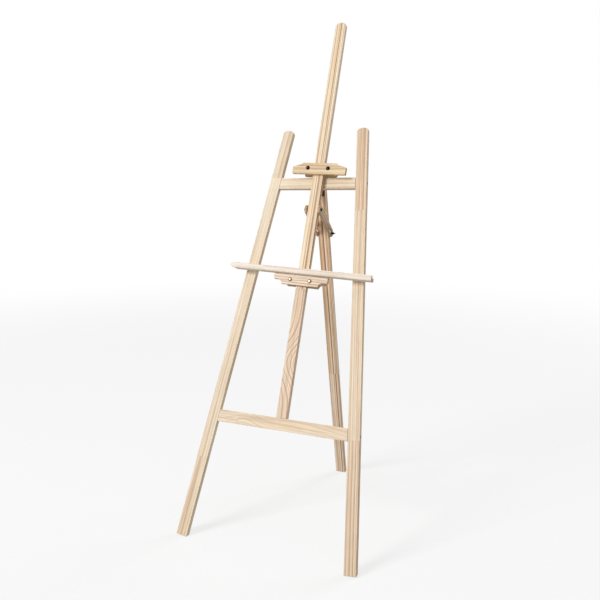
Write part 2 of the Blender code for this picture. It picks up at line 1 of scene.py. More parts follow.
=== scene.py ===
"""Looks of the pine tripod easel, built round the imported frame.

Every wooden piece is rebuilt with eased edges and a solid, three-dimensional pine grain that
runs along that piece, and the hardware with threads, recesses and cast wings.
"""

import json
import math

import bmesh
import bpy
from mathutils import Euler, Matrix, Vector


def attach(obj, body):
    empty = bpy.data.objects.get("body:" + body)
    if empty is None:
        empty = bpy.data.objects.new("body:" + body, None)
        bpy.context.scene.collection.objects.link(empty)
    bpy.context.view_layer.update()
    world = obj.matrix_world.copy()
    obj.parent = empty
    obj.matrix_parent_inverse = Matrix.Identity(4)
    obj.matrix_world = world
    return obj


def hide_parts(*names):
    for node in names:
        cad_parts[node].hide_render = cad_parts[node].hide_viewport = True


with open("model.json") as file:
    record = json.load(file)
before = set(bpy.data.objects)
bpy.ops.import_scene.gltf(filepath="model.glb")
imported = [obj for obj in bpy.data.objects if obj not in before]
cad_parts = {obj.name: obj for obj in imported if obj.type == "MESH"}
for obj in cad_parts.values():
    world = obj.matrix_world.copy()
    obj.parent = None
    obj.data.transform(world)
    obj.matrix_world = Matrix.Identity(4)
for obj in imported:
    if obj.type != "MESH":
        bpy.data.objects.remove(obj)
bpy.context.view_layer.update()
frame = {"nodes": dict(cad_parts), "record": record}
NODES = frame["nodes"]
scene = bpy.context.scene
rad = math.radians

# ---------------------------------------------------------------- the frame's own dimensions
GAP = 0.0003
LEAN, FRONT_Y, FLOOR_LIFT = rad(20.95), -0.3162, 0.00184
STOCK_W, STOCK_T = 0.035, 0.014
LEG_FOOT_U, LEG_TOP_U, LEG_TOP_V, LEG_ARCH = 0.2608, 0.1223, 1.2637, 0.010
UPPER_BAR_V, LOWER_BAR_V = 1.0866, 0.3565
MAST_W, MAST_T, MAST_TOP, MAST_ARCH = 0.034, 0.014, 1.256, 0.011
MAST_FOOT_U, MAST_LEAN_U = -0.0003, rad(0.526)
PIN = (0.004, 0.0175, 1.0726)
OPEN_ANGLE, REAR_W, REAR_T, REAR_SKEW, REAR_FACE = rad(33.1), 0.034, 0.016, rad(0.242), 0.0022
HINGE_HALF, BARREL_R, PIN_R, LEAF_T, LEAF_END, KNUCKLE = 0.015, 0.0027, 0.0015, 0.0012, 0.021, 0.0049
PIVOT_D, PIVOT_V, CLAMP_R, STRUT_ANGLE = -0.0055, 1.0, 0.140, rad(71.19)
STRUT_R, STRUT_LEFT_U, STRUT_RIGHT_U = 0.013, (-0.0201, -0.0141), (0.0230, 0.0290)
SLOT_NEAR, SLOT_FAR, SLOT_R, BRACE_BOLT_R = 0.0761, 0.1150, 0.0050, 0.0025
PLATE_END, REAR_PLATE_END, PLATE_T = 0.087, 0.071, 0.010
CLAMP_BOLTS, TRAY_BOLTS, BOLT_R, BOLT_HOLE_R = (-0.0366, 0.0292), (-0.0323, 0.0309), 0.0030, 0.0033
CLAMP_S, CLAMP_Q, TRAY_S, TRAY_Q, SLIDER_ROLL = 0.7684, 0.0042, 0.4204, -0.0023, rad(2.0)
BAR_L, BAR_Q, BAR_DEPTH, BAR_LIP_T, BAR_LIP_H, BAR_LEDGE_H, BAR_BOTTOM = 0.4545, -0.0070, 0.0235, 0.010, 0.0168, 0.0102, 0.0165
BAR_ROUND, BRACKET_TOP = 0.0035, 0.0162
WASHER_T = 0.0012


def frame_of(parent, location, rotation):
    return parent @ Matrix.Translation(location) @ Euler(rotation).to_matrix().to_4x4()


def rx(a):
    return Matrix.Rotation(a, 4, "X")


def ry(a):
    return Matrix.Rotation(a, 4, "Y")


def rz(a):
    return Matrix.Rotation(a, 4, "Z")


def move(x, y, z):
    return Matrix.Translation((x, y, z))


LEANF = frame_of(Matrix.Identity(4), (0, FRONT_Y, FLOOR_LIFT), (-LEAN, 0, 0))
MAST_TILT = math.asin((MAST_T + GAP) / (UPPER_BAR_V - STOCK_W / 2 - LOWER_BAR_V))
MASTF = frame_of(LEANF, (MAST_FOOT_U, 0, LOWER_BAR_V), (MAST_TILT, MAST_LEAN_U, 0))
CLAMPF = frame_of(MASTF, (CLAMP_Q, 0, CLAMP_S), (0, SLIDER_ROLL, 0))
TRAYF = frame_of(MASTF, (TRAY_Q, 0, TRAY_S), (0, SLIDER_ROLL, 0))
PINF = frame_of(LEANF, PIN, (OPEN_ANGLE, 0, 0))
FIXEDF = frame_of(LEANF, PIN, (0, 0, 0))
STRUTF = frame_of(LEANF, (0, PIVOT_D, PIVOT_V), (STRUT_ANGLE, 0, 0))
SPLAY = (LEG_FOOT_U - LEG_TOP_U) / LEG_TOP_V
SPLAY_ANGLE = math.atan(SPLAY)
LEG_LEN = LEG_TOP_V / math.cos(SPLAY_ANGLE)

PLUS_X, MINUS_X = ry(rad(90)), ry(rad(-90))
PLUS_Y, MINUS_Y = rx(rad(-90)), rx(rad(90))
# turns a flat outline so that its long side, X, runs along the piece's local Z, where the grain runs
LONG_X = ry(rad(90))


# ---------------------------------------------------------------- shader helpers
class Graph:
    """Short names for building a node tree."""

    def __init__(self, mat):
        self.tree = mat.node_tree
        self.shader = self.tree.nodes["Principled BSDF"]

    def node(self, kind, **values):
        n = self.tree.nodes.new(kind)
        for key, value in values.items():
            setattr(n, key, value)
        return n

    def put(self, socket, value):
        if isinstance(value, bpy.types.NodeSocket):
            self.tree.links.new(value, socket)
        elif isinstance(value, (tuple, list)) and len(value) == 3 and socket.type == "RGBA":
            socket.default_value = (*value, 1.0)
        else:
            socket.default_value = value

    def math(self, op, a, b=0.0, c=0.0, clamp=False):
        n = self.node("ShaderNodeMath", operation=op, use_clamp=clamp)
        for socket, value in zip(n.inputs, (a, b, c)):
            self.put(socket, value)
        return n.outputs[0]

    def vector(self, op, a, b=(0, 0, 0), scale=None):
        n = self.node("ShaderNodeVectorMath", operation=op)
        self.put(n.inputs[0], a)
        self.put(n.inputs[1], b)
        if scale is not None:
            self.put(n.inputs["Scale"], scale)
        return n.outputs["Value"] if op in ("LENGTH", "DOT_PRODUCT", "DISTANCE") else n.outputs["Vector"]

    def xyz(self, v):
        n = self.node("ShaderNodeSeparateXYZ")
        self.put(n.inputs[0], v)
        return n.outputs[0], n.outputs[1], n.outputs[2]

    def join(self, x, y, z):
        n = self.node("ShaderNodeCombineXYZ")
        for socket, value in zip(n.inputs, (x, y, z)):
            self.put(socket, value)
        return n.outputs[0]

    def noise(self, v, detail=2.0, rough=0.5, colour=False, distortion=0.0):
        n = self.node("ShaderNodeTexNoise")
        self.put(n.inputs["Vector"], v)
        n.inputs["Scale"].default_value = 1.0
        n.inputs["Detail"].default_value = detail
        n.inputs["Roughness"].default_value = rough
        n.inputs["Distortion"].default_value = distortion
        return n.outputs["Color"] if colour else n.outputs[0]

    def range(self, value, low, high, to_low=0.0, to_high=1.0, smooth=True):
        n = self.node("ShaderNodeMapRange", interpolation_type="SMOOTHSTEP" if smooth else "LINEAR")
        self.put(n.inputs["Value"], value)
        for key, v in (("From Min", low), ("From Max", high), ("To Min", to_low), ("To Max", to_high)):
            n.inputs[key].default_value = v
        return n.outputs[0]

    def mix(self, factor, a, b, blend="MIX"):
        n = self.node("ShaderNodeMix", data_type="RGBA", blend_type=blend, clamp_factor=True)
        self.put(n.inputs[0], factor)
        self.put(n.inputs[6], a)
        self.put(n.inputs[7], b)
        return n.outputs[2]

    def ramp(self, value, stops):
        n = self.node("ShaderNodeValToRGB")
        self.put(n.inputs[0], value)
        r = n.color_ramp
        while len(r.elements) < len(stops):
            r.elements.new(0.5)
        for e, (at, level) in zip(r.elements, stops):
            e.position = at
            e.color = (level, level, level, 1.0) if not isinstance(level, tuple) else (*level, 1.0)
        return n.outputs[0]

    def bump(self, height, distance, strength):
        n = self.node("ShaderNodeBump")
        self.put(n.inputs["Height"], height)
        n.inputs["Distance"].default_value = distance
        n.inputs["Strength"].default_value = strength
        self.tree.links.new(n.outputs[0], self.shader.inputs["Normal"])


def srgb(r, g, b):
    """A display colour, 0 to 255, as the shader's linear value."""
    return tuple((c / 255 / 12.92) if c <= 10 else ((c / 255 + 0.055) / 1.055) ** 2.4 for c in (r, g, b))


def new_material(name):
    mat = bpy.data.materials.new(name)
    mat.use_nodes = True
    return mat, Graph(mat)


def pine(name, tones, late, segments=((-9.0, 0.5, 1.0, (1.0, 1.0, 1.0)),), pith=(0.07, 0.05), spacing=0.0042,
         tilt=(0.0, 0.0), seed=0.0, wander=0.003, stripes=(125.0, 0.7), swells=(), taper=0.0):
    """Solid finger-jointed pine: growth rings round a pith line beside the piece, running along local Z.

    tones are the dark, mid, light and warm colours of the lengthwise stripes and late that of the ring lines.
    A segment is (where it starts, ring contrast, stripe strength, tint); a swell (where, how long, how far)
    makes the rings bulge, as they do round a branch, which draws a cathedral on the face.
    """
    mat, g = new_material(name)
    coords = g.node("ShaderNodeTexCoord")
    p = coords.outputs["Object"]
    x, y, z = g.xyz(p)
    # the boards are glued from shorter lengths: fingers show as a zigzag on the thin sides
    zigzag = g.math("MULTIPLY", g.math("SUBTRACT", g.math("PINGPONG", g.math("ADD", y, 0.1), 0.0019), 0.00095), 5.2)
    along = g.math("ADD", z, zigzag)
    steps = [g.math("GREATER_THAN", along, start) for start, *_ in segments[1:]]

    def per_segment(values):
        total = values[0]
        for gate, low, high in zip(steps, values, values[1:]):
            total = g.math("MULTIPLY_ADD", gate, high - low, total)
        return total

    count = per_segment([float(i) for i in range(len(segments))])
    ring_gain = per_segment([s[1] for s in segments])
    band_gain = per_segment([s[2] for s in segments])
    tint = g.join(*(per_segment([s[3][i] * (1.03, 1.073, 1.146)[i] for s in segments]) for i in range(3)))
    draw = g.node("ShaderNodeTexWhiteNoise", noise_dimensions="1D")
    g.put(draw.inputs["W"], g.math("ADD", g.math("MULTIPLY", count, 5.37), seed))
    chance = draw.outputs["Color"]
    jump = g.vector("SCALE", g.vector("SUBTRACT", chance, (0.5, 0.5, 0.5)), scale=2.0)
    shifted = g.vector("ADD", g.vector("ADD", p, (seed * 1.37, seed * 2.11, seed * 0.73)), jump)
    # the rings wander along the trunk: slowly over decimetres, and a little over centimetres
    slow = g.noise(g.vector("MULTIPLY", shifted, (3.0, 3.0, 1.5)), 1.0, 0.5, colour=True)
    fast = g.noise(g.vector("MULTIPLY", shifted, (45.0, 45.0, 9.0)), 2.0, 0.5, colour=True)
    drift = g.vector("SCALE", g.vector("SUBTRACT", slow, (0.5, 0.5, 0.5)), scale=wander * 4)
    ripple = g.vector("SCALE", g.vector("SUBTRACT", fast, (0.5, 0.5, 0.5)), scale=0.0016)
    moved = g.vector("ADD", p, g.vector("ADD", drift, ripple))
    mx, my, mz = g.xyz(moved)
    cx, cy, cz = g.xyz(chance)
    if len(segments) > 1:
        mx = g.math("MULTIPLY_ADD", g.math("SUBTRACT", cx, 0.5), g.math("MULTIPLY", g.math("MINIMUM", count, 1.0), 0.05), mx)
    dx = g.math("SUBTRACT", g.math("SUBTRACT", mx, pith[0]), g.math("MULTIPLY", mz, tilt[0]))
    dy = g.math("SUBTRACT", g.math("SUBTRACT", my, pith[1]), g.math("MULTIPLY", mz, tilt[1]))
    radius = g.math("SQRT", g.math("ADD", g.math("MULTIPLY", dx, dx), g.math("MULTIPLY", dy, dy)))
    if taper:
        radius = g.math("MULTIPLY_ADD", mz, taper, radius)
    for where, length, far in swells:
        t = g.math("DIVIDE", g.math("SUBTRACT", mz, where), length)
        bulge = g.math("EXPONENT", g.math("MULTIPLY", g.math("MULTIPLY", t, t), -1.0))
        radius = g.math("MULTIPLY_ADD", bulge, -far, radius)
    # growth varies from year to year, so the rings aren't evenly spaced
    years = g.noise(g.join(g.math("MULTIPLY", radius, 60.0), seed, 0.0), 1.0)
    q = g.math("ADD", g.math("DIVIDE", radius, spacing), g.math("MULTIPLY", years, 2.0))
    phase = g.math("FRACT", q)
    ring = g.ramp(phase, [(0.0, 0.15), (0.14, 0.0), (0.50, 0.10), (0.76, 0.72), (0.90, 1.0), (0.97, 0.95), (1.0, 0.15)])
    which = g.node("ShaderNodeTexWhiteNoise", noise_dimensions="1D")
    g.put(which.inputs["W"], g.math("ADD", g.math("FLOOR", q), seed))
    each = g.range(which.outputs["Value"], 0.0, 1.0, 0.40, 1.0, smooth=False)
    late_mask = g.math("MULTIPLY", ring, each)
    ring_mix = g.math("MULTIPLY", late_mask, ring_gain)
    # lengthwise stripes of pale sapwood, warmer heartwood and dense brown growth
    band = g.noise(g.vector("MULTIPLY", g.vector("ADD", shifted, g.vector("SCALE", drift, scale=0.5)),
                            (stripes[0], stripes[0] * 0.55, stripes[1])), 1.6, 0.62)
    dark, mid, light, warm = tones
    striped = g.ramp(band, [(0.29, dark), (0.39, mid), (0.475, light), (0.545, warm), (0.62, mid), (0.71, dark)])
    plain = g.mix(0.5, mid, light)
    colour = g.mix(band_gain, plain, striped)
    colour = g.mix(ring_mix, colour, late)
    colour = g.mix(1.0, colour, tint, "MULTIPLY")
    # soft clouds, where the plane tore or raised the fibre
    cloud = g.noise(g.vector("MULTIPLY", shifted, (55.0, 55.0, 17.0)), 3.0, 0.6)
    # fibres, resin canals, and faint marks of the planer across the grain
    fibre = g.noise(g.vector("MULTIPLY", shifted, (900.0, 900.0, 14.0)), 3.5, 0.68)
    streak = g.noise(g.vector("MULTIPLY", shifted, (260.0, 260.0, 4.0)), 2.0, 0.55)
    canal = g.noise(g.vector("MULTIPLY", shifted, (1500.0, 1500.0, 70.0)), 1.0, 0.5)
    tone = g.math("ADD", g.range(fibre, 0.27, 0.73, 0.915, 1.055), g.range(streak, 0.28, 0.72, -0.09, 0.055))
    tone = g.math("ADD", tone, g.range(cloud, 0.30, 0.70, -0.035, 0.03))
    tone = g.math("SUBTRACT", tone, g.range(canal, 0.68, 0.78, 0.0, 0.17))
    for start, *_ in segments[1:]:
        line = g.range(g.math("ABSOLUTE", g.math("SUBTRACT", along, start)), 0.00018, 0.00070, 0.13, 0.0)
        tone = g.math("SUBTRACT", tone, line)
    colour = g.mix(1.0, colour, g.join(tone, tone, tone), "MULTIPLY")
    # end grain drinks the light
    nx, ny, nz = g.xyz(coords.outputs["Normal"])
    end = g.range(g.math("ABSOLUTE", nz), 0.55, 0.9)
    colour = g.mix(g.math("MULTIPLY", end, 0.55), colour, g.mix(1.0, colour, srgb(206, 172, 132), "MULTIPLY"))
    # handled arrises: the attribute is 1 on the eased edges and 0 on the flats
    worn = g.node("ShaderNodeAttribute", attribute_name="wear").outputs["Fac"]
    patchy = g.math("MULTIPLY", worn, g.range(g.noise(g.vector("MULTIPLY", shifted, (60.0, 60.0, 22.0)), 3.0), 0.38, 0.60, 0.35, 1.0))
    colour = g.mix(g.math("MULTIPLY", patchy, 0.42), colour, srgb(178, 142, 104))
    g.put(g.shader.inputs["Base Color"], colour)
    rough = g.math("ADD", g.range(fibre, 0.2, 0.8, 0.60, 0.72), g.math("MULTIPLY", late_mask, -0.10))
    rough = g.math("SUBTRACT", rough, g.math("MULTIPLY", worn, 0.07))
    g.put(g.shader.inputs["Roughness"], rough)
    g.shader.inputs["Specular IOR Level"].default_value = 0.32
    chatter = g.math("SINE", g.math("MULTIPLY", z, 1500.0))
    height = g.math("ADD", g.math("MULTIPLY", fibre, 0.8), g.math("MULTIPLY", late_mask, 0.35))
    height = g.math("ADD", height, g.math("MULTIPLY", chatter, 0.03))
    height = g.math("ADD", height, g.math("MULTIPLY", canal, 0.25))
    g.bump(height, 0.00022, 0.55)
    mat.diffuse_color = (*light, 1.0)
    return mat


def metal(name, base, worn_colour, rough=0.38, metallic=1.0, wear=0.6, mottling=0.25):
    """Plated or blackened steel with fine mottling, and a brighter metal on worn edges."""
    mat, g = new_material(name)
    p = g.node("ShaderNodeTexCoord").outputs["Object"]
    big = g.noise(g.vector("MULTIPLY", p, (260.0, 260.0, 260.0)), 3.0, 0.6)
    fine = g.noise(g.vector("MULTIPLY", p, (2400.0, 2400.0, 2400.0)), 2.0, 0.6)
    dull = tuple(c * 0.62 for c in base)
    colour = g.mix(g.math("MULTIPLY", g.range(big, 0.35, 0.70), mottling * 2), base, dull)
    attribute = g.node("ShaderNodeAttribute", attribute_name="wear").outputs["Fac"]
    edge = g.math("MULTIPLY", attribute, g.range(big, 0.40, 0.60, 0.25, 1.0))
    edge = g.math("MULTIPLY", edge, wear)
    colour = g.mix(edge, colour, worn_colour)
    g.put(g.shader.inputs["Base Color"], colour)
    g.shader.inputs["Metallic"].default_value = metallic
    r = g.math("ADD", g.range(fine, 0.3, 0.7, rough - 0.06, rough + 0.10), g.math("MULTIPLY", edge, -0.08))
    g.put(g.shader.inputs["Roughness"], g.math("ADD", r, g.range(big, 0.3, 0.7, -0.05, 0.08)))
    g.bump(g.math("ADD", g.math("MULTIPLY", fine, 0.5), g.math("MULTIPLY", big, 0.8)), 0.00005, 0.35)
    return mat


# ---------------------------------------------------------------- mesh helpers
def solid(loop, low, high, plane="XZ"):
    """A prism: an outline in XZ drawn out along Y, or in YZ along X, or in XY along Z."""
    bm = bmesh.new()
    place = {"XZ": lambda a, b: (a, low, b), "YZ": lambda a, b: (low, a, b), "XY": lambda a, b: (a, b, low)}[plane]
    verts = [bm.verts.new(place(a, b)) for a, b in loop]
    face = bm.faces.new(verts)
    grown = bmesh.ops.extrude_face_region(bm, geom=[face])
    step = {"XZ": (0, high - low, 0), "YZ": (high - low, 0, 0), "XY": (0, 0, high - low)}[plane]
    bmesh.ops.translate(bm, vec=step, verts=[v for v in grown["geom"] if isinstance(v, bmesh.types.BMVert)])
    bmesh.ops.recalc_face_normals(bm, faces=bm.faces)
    return bm


def cut_off(bm, point, normal):
    """Saws off what lies on the normal's side of a plane and closes the cut."""
    cut = bmesh.ops.bisect_plane(bm, geom=bm.verts[:] + bm.edges[:] + bm.faces[:], dist=1e-6,
                                 plane_co=point, plane_no=normal, clear_outer=True)
    edges = [e for e in cut["geom_cut"] if isinstance(e, bmesh.types.BMEdge)]
    bmesh.ops.edgeloop_fill(bm, edges=edges)
    bmesh.ops.recalc_face_normals(bm, faces=bm.faces)


def ease(bm, width, segments=3, angle=30.0, choose=None):
    """Rounds the sharp edges and marks the rounding for the shaders."""
    layer = bm.verts.layers.float.get("wear") or bm.verts.layers.float.new("wear")
    bm.normal_update()
    sharp = [e for e in bm.edges if len(e.link_faces) == 2 and e.calc_face_angle(0.0) > rad(angle)
             and (choose is None or choose(e))]
    if not sharp:
        return bm
    made = bmesh.ops.bevel(bm, geom=sharp, offset=width, offset_type="OFFSET", segments=segments, profile=0.5,
                           affect="EDGES", clamp_overlap=True, miter_outer="SHARP", miter_inner="SHARP",
                           loop_slide=False)
    rounded = set(made["faces"])
    for v in made["verts"]:
        if v.is_valid and all(f in rounded for f in v.link_faces):
            v[layer] = 1.0
    return bm


def to_mesh(bm, name):
    if bm.verts.layers.float.get("wear") is None:
        bm.verts.layers.float.new("wear")
    mesh = bpy.data.meshes.new(name)
    bm.to_mesh(mesh)
    bm.free()
    return mesh


def loose(mesh, name):
    ob = bpy.data.objects.new(name, mesh)
    scene.collection.objects.link(ob)
    return ob


def bake(ob, name, keep_modifiers=False):
    """The object's evaluated mesh, as a new mesh."""
    bpy.context.view_layer.update()
    mesh = bpy.data.meshes.new_from_object(ob.evaluated_get(bpy.context.evaluated_depsgraph_get()))
    mesh.name = name
    return mesh


def drilled(mesh, cutters, name="work", operation="DIFFERENCE"):
    """The mesh with each cutter mesh taken out of it."""
    ob = loose(mesh, name)
    helpers = []
    for i, cutter in enumerate(cutters):
        c = loose(cutter, f"{name}_cutter{i}")
        helpers.append(c)
        mod = ob.modifiers.new("cut", "BOOLEAN")
        mod.operation = operation
        mod.solver = "EXACT"
        mod.object = c
    done = bake(ob, name)
    for o in [ob] + helpers:
        bpy.data.objects.remove(o, do_unlink=True)
    return done


def lathe(profile, steps=48, closed=False, turn=None, name="lathe"):
    """A turned mesh round Z; the profile runs from the top, down the outer side, to the bottom.

    A row is (radius, z) or (radius, z, wear); a radius may be a function of the angle.
    """
    bm = bmesh.new()
    layer = bm.verts.layers.float.new("wear")
    rings = []
    for row in profile:
        r, z = row[0], row[1]
        if callable(r):
            ring = [bm.verts.new((r(a) * math.cos(a), r(a) * math.sin(a), z))
                    for a in (2 * math.pi * i / steps for i in range(steps))]
        elif r < 1e-7:
            ring = [bm.verts.new((0, 0, z))]
        else:
            ring = [bm.verts.new((r * math.cos(2 * math.pi * i / steps), r * math.sin(2 * math.pi * i / steps), z))
                    for i in range(steps)]
        if len(row) > 2:
            for v in ring:
                v[layer] = row[2]
        rings.append(ring)
    pairs = list(zip(rings, rings[1:])) + ([(rings[-1], rings[0])] if closed else [])
    for a, b in pairs:
        for i in range(steps):
            j = (i + 1) % steps
            if len(a) == 1 and len(b) == 1:
                continue
            if len(a) == 1:
                bm.faces.new((a[0], b[i], b[j]))
            elif len(b) == 1:
                bm.faces.new((a[i], b[0], a[j]))
            else:
                bm.faces.new((a[i], b[i], b[j], a[j]))
    bmesh.ops.recalc_face_normals(bm, faces=bm.faces)
    if turn is not None:
        bmesh.ops.transform(bm, matrix=turn, verts=bm.verts)
    return to_mesh(bm, name)


def thread_rows(radius, pitch, depth, top, bottom, per=8, body=None):
    """Rows of a right-hand thread cut into a rod, running out at both ends."""
    count = max(2, int(round((top - bottom) / pitch * per)))

    def groove(x):
        return min(1.0, max(0.0, (abs(2 * (x - math.floor(x)) - 1) - 0.15) / 0.7))

    rows = []
    for k in range(count + 1):
        z = top - (top - bottom) * k / count
        fade = min(1.0, (top - z) / pitch, (z - bottom) / pitch)
        r = radius if body is None else body(z)
        rows.append((lambda a, z=z, f=fade, r=r: r - min(depth, r * 0.45) * f * groove(z / pitch - a / (2 * math.pi)), z, 0.3))
    return rows


def arc(cx, cy, rx_, ry_, start, end, count):
    return [(cx + rx_ * math.cos(rad(start + (end - start) * i / count)),
             cy + ry_ * math.sin(rad(start + (end - start) * i / count))) for i in range(count + 1)]


def cylinder(radius, start, end, steps=40, chamfer=0.0, chamfer_r=0.0):
    """A cutter between two points; the start can flare out as a chamfer."""
    start, end = Vector(start), Vector(end)
    length = (end - start).length
    profile = [(0.0, 0.0), (radius + chamfer_r, 0.0)]
    if chamfer:
        profile += [(radius, -chamfer)]
    profile += [(radius, -length), (0.0, -length)]
    turn = Matrix.Translation(start) @ (start - end).to_track_quat("Z", "Y").to_matrix().to_4x4()
    return lathe(profile, steps, turn=turn, name="cutter")


PIECES = []


def piece(mesh, name, matrix, body, nodes, mat, weighted=True, smooth_angle=None):
    """Places a finished mesh, hides the CAD nodes it stands for, and lets it ride on its body."""
    if isinstance(nodes, str):
        nodes = [nodes]
    for poly in mesh.polygons:
        poly.use_smooth = True
    if smooth_angle:
        mesh.set_sharp_from_angle(angle=rad(smooth_angle))
    ob = loose(mesh, name)
    if weighted:
        mod = ob.modifiers.new("flats stay flat", "WEIGHTED_NORMAL")
        mod.keep_sharp = True
        mod.weight = 100
        final = bake(ob, name)
        ob.modifiers.clear()
        ob.data = final
    ob.data.name = name
    ob.data.materials.clear()
    ob.data.materials.append(mat)
    ob.matrix_world = matrix
    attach(ob, body)
    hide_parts(*nodes)
    PIECES.append(ob)
    return ob


# ---------------------------------------------------------------- materials
SAP = (srgb(202, 170, 134), srgb(225, 199, 168), srgb(243, 227, 201), srgb(238, 214, 176))
MAST_TONES = (srgb(172, 130, 90), srgb(214, 180, 148), srgb(251, 238, 214), srgb(240, 212, 162))
REAR_TONES = (srgb(140, 100, 66), srgb(203, 168, 136), srgb(252, 236, 212), srgb(232, 204, 162))
STRUT_TONES = (srgb(178, 142, 106), srgb(208, 178, 146), srgb(233, 210, 182), srgb(226, 198, 160))
PLATE_TONES = (srgb(206, 162, 116), srgb(229, 195, 156), srgb(245, 229, 190), srgb(242, 212, 160))
BRACKET_TONES = (srgb(206, 172, 138), srgb(229, 205, 178), srgb(245, 232, 210), srgb(238, 218, 190))
TRAY_TONES = (srgb(222, 200, 176), srgb(236, 219, 200), srgb(246, 235, 220), srgb(242, 226, 202))
ROSE = srgb(196, 150, 112)
BROWN = srgb(166, 118, 76)

black_steel = metal("black_oxide_steel", (0.022, 0.020, 0.018), (0.20, 0.18, 0.15), rough=0.36, wear=0.35)
brass_zinc = metal("yellow_zinc_steel", (0.52, 0.45, 0.30), (0.72, 0.66, 0.52), rough=0.36, wear=0.6)
plated = metal("plated_steel", (0.50, 0.48, 0.44), (0.72, 0.70, 0.66), rough=0.34, wear=0.6)
# the hinge metal is coloured almost black: painted shade, standing for the shadow the hinge sits in under the crossbar
shade_dark_hinge = metal("hinge_painted_shade_dark", (0.16, 0.115, 0.070), (0.48, 0.37, 0.24), rough=0.42, wear=0.7)


# ---------------------------------------------------------------- legs
def leg(name, side, mat):
    half = STOCK_W / 2
    loop = [(-half, -0.02), (half, -0.02)] + arc(0, LEG_LEN - LEG_ARCH, half, LEG_ARCH, 0, 180, 32)
    bm = solid(loop, -STOCK_T / 2, STOCK_T / 2)
    place = LEANF @ move(side * LEG_FOOT_U, STOCK_T / 2, 0) @ ry(-side * SPLAY_ANGLE)
    # the foot's saw cut is square across the leg and level from front to back
    cut_frame = move(side * LEG_FOOT_U, FRONT_Y, FLOOR_LIFT) @ ry(-side * math.atan(SPLAY * math.cos(LEAN)))
    to_local = place.inverted()
    point = to_local @ cut_frame.translation
    normal = (to_local.to_3x3() @ (cut_frame.to_3x3() @ Vector((0, 0, -1)))).normalized()
    cut_off(bm, point, normal)
    ease(bm, 0.0013, 3)
    mesh = to_mesh(bm, name)
    cutters = []
    outer = side * half
    for v in (UPPER_BAR_V, LOWER_BAR_V):
        z = (to_local @ (LEANF @ Vector((side * (LEG_FOOT_U - SPLAY * v), STOCK_T / 2, v)))).z
        # the screws run level, along the crossbar, so their holes slant through the leg
        centre = to_local @ (LEANF @ Vector((side * (LEG_FOOT_U - SPLAY * v + STOCK_W / 2 / math.cos(SPLAY_ANGLE)), STOCK_T / 2, v)))
        along = (to_local.to_3x3() @ (LEANF.to_3x3() @ Vector((side, 0, 0)))).normalized()
        cutters.append(cylinder(0.0042, centre + along * 0.004, centre - along * 0.0052, 40))
        cutters.append(cylinder(0.0023, centre + along * 0.004, centre - along * 0.050, 24))
    mesh = drilled(mesh, cutters, name)
    return piece(mesh, name + "_wood", place, "frame", name, mat)


leg("left_leg", -1, pine("pine_left_leg", SAP, ROSE,
                        ((-9.0, 0.34, 0.90, (1.00, 0.975, 0.95)), (0.235, 0.16, 0.70, (1.025, 1.01, 0.99)),
                         (1.117, 0.24, 0.85, (0.965, 0.95, 0.935))), pith=(0.085, 0.055),
                        spacing=0.0052, tilt=(0.012, 0.004), seed=1.3, stripes=(95.0, 1.3), swells=((0.30, 0.10, 0.012),)))
leg("right_leg", 1, pine("pine_right_leg", SAP, ROSE,
                         ((-9.0, 1.0, 1.0, (0.968, 0.908, 0.875)), (0.350, 0.34, 0.95, (1.04, 1.01, 0.99)),
                          (1.012, 0.80, 1.0, (1.0, 0.95, 0.93))),
                         pith=(-0.065, 0.075), spacing=0.0050, tilt=(-0.006, 0.002), seed=4.1, stripes=(185.0, 0.7)))


# ---------------------------------------------------------------- crossbars
def crossbar(name, v, mat, cutters):
    half_w = STOCK_W / 2 / math.cos(SPLAY_ANGLE)

    def reach(dv):
        return LEG_FOOT_U - SPLAY * (v + dv) - half_w - GAP

    h = STOCK_W / 2
    loop = [(-reach(-h), -h), (reach(-h), -h), (reach(h), h), (-reach(h), h)]
    bm = solid(loop, -STOCK_T / 2, STOCK_T / 2)
    ease(bm, 0.0009, 3)
    bmesh.ops.transform(bm, matrix=LONG_X.inverted(), verts=bm.verts)
    mesh = drilled(to_mesh(bm, name), cutters, name)
    place = LEANF @ move(0, STOCK_T / 2, v) @ LONG_X
    return piece(mesh, name + "_wood", place, "frame", name, mat)


def in_bar(x, y, z):
    """A point of the bar's own box, X along it, in the turned frame where Z runs along it."""
    return LONG_X.inverted() @ Vector((x, y, z))


end_u = LEG_FOOT_U - SPLAY * UPPER_BAR_V - STOCK_W / 2
crossbar("upper_crossbar", UPPER_BAR_V,
         pine("pine_upper_bar", SAP, ROSE,
              ((-9.0, 0.12, 0.75, (1.01, 1.0, 0.97)), (0.012, 0.15, 0.85, (1.015, 1.0, 0.965))), pith=(0.10, 0.06),
              spacing=0.0060, tilt=(0.0, 0.003), seed=7.7, stripes=(110.0, 1.0)),
         [cylinder(0.0034, in_bar(0.0064, 0.012, dv), in_bar(0.0064, 0.0040, dv), 32) for dv in (1.0768 - UPPER_BAR_V, 1.0988 - UPPER_BAR_V)]
         + [cylinder(0.0018, in_bar(PIN[0] + s * 0.010, 0.012, PIN[2] + 0.0135 - UPPER_BAR_V),
                     in_bar(PIN[0] + s * 0.010, -0.003, PIN[2] + 0.0135 - UPPER_BAR_V), 20) for s in (-1, 1)])
crossbar("lower_crossbar", LOWER_BAR_V,
         pine("pine_lower_bar", SAP, ROSE,
              ((-9.0, 0.40, 0.50, (1.03, 1.0, 0.965)), (-0.133, 0.45, 0.50, (1.05, 1.02, 0.985))), pith=(-0.075, 0.030),
              spacing=0.0095, tilt=(0.02, 0.02), seed=11.9, wander=0.004, stripes=(80.0, 2.0),
              swells=((-0.118, 0.045, -0.017), (0.23, 0.10, 0.012))),
         [cylinder(0.0042, in_bar(MAST_FOOT_U, 0, -0.0215), in_bar(MAST_FOOT_U, 0, -0.0135), 36)])

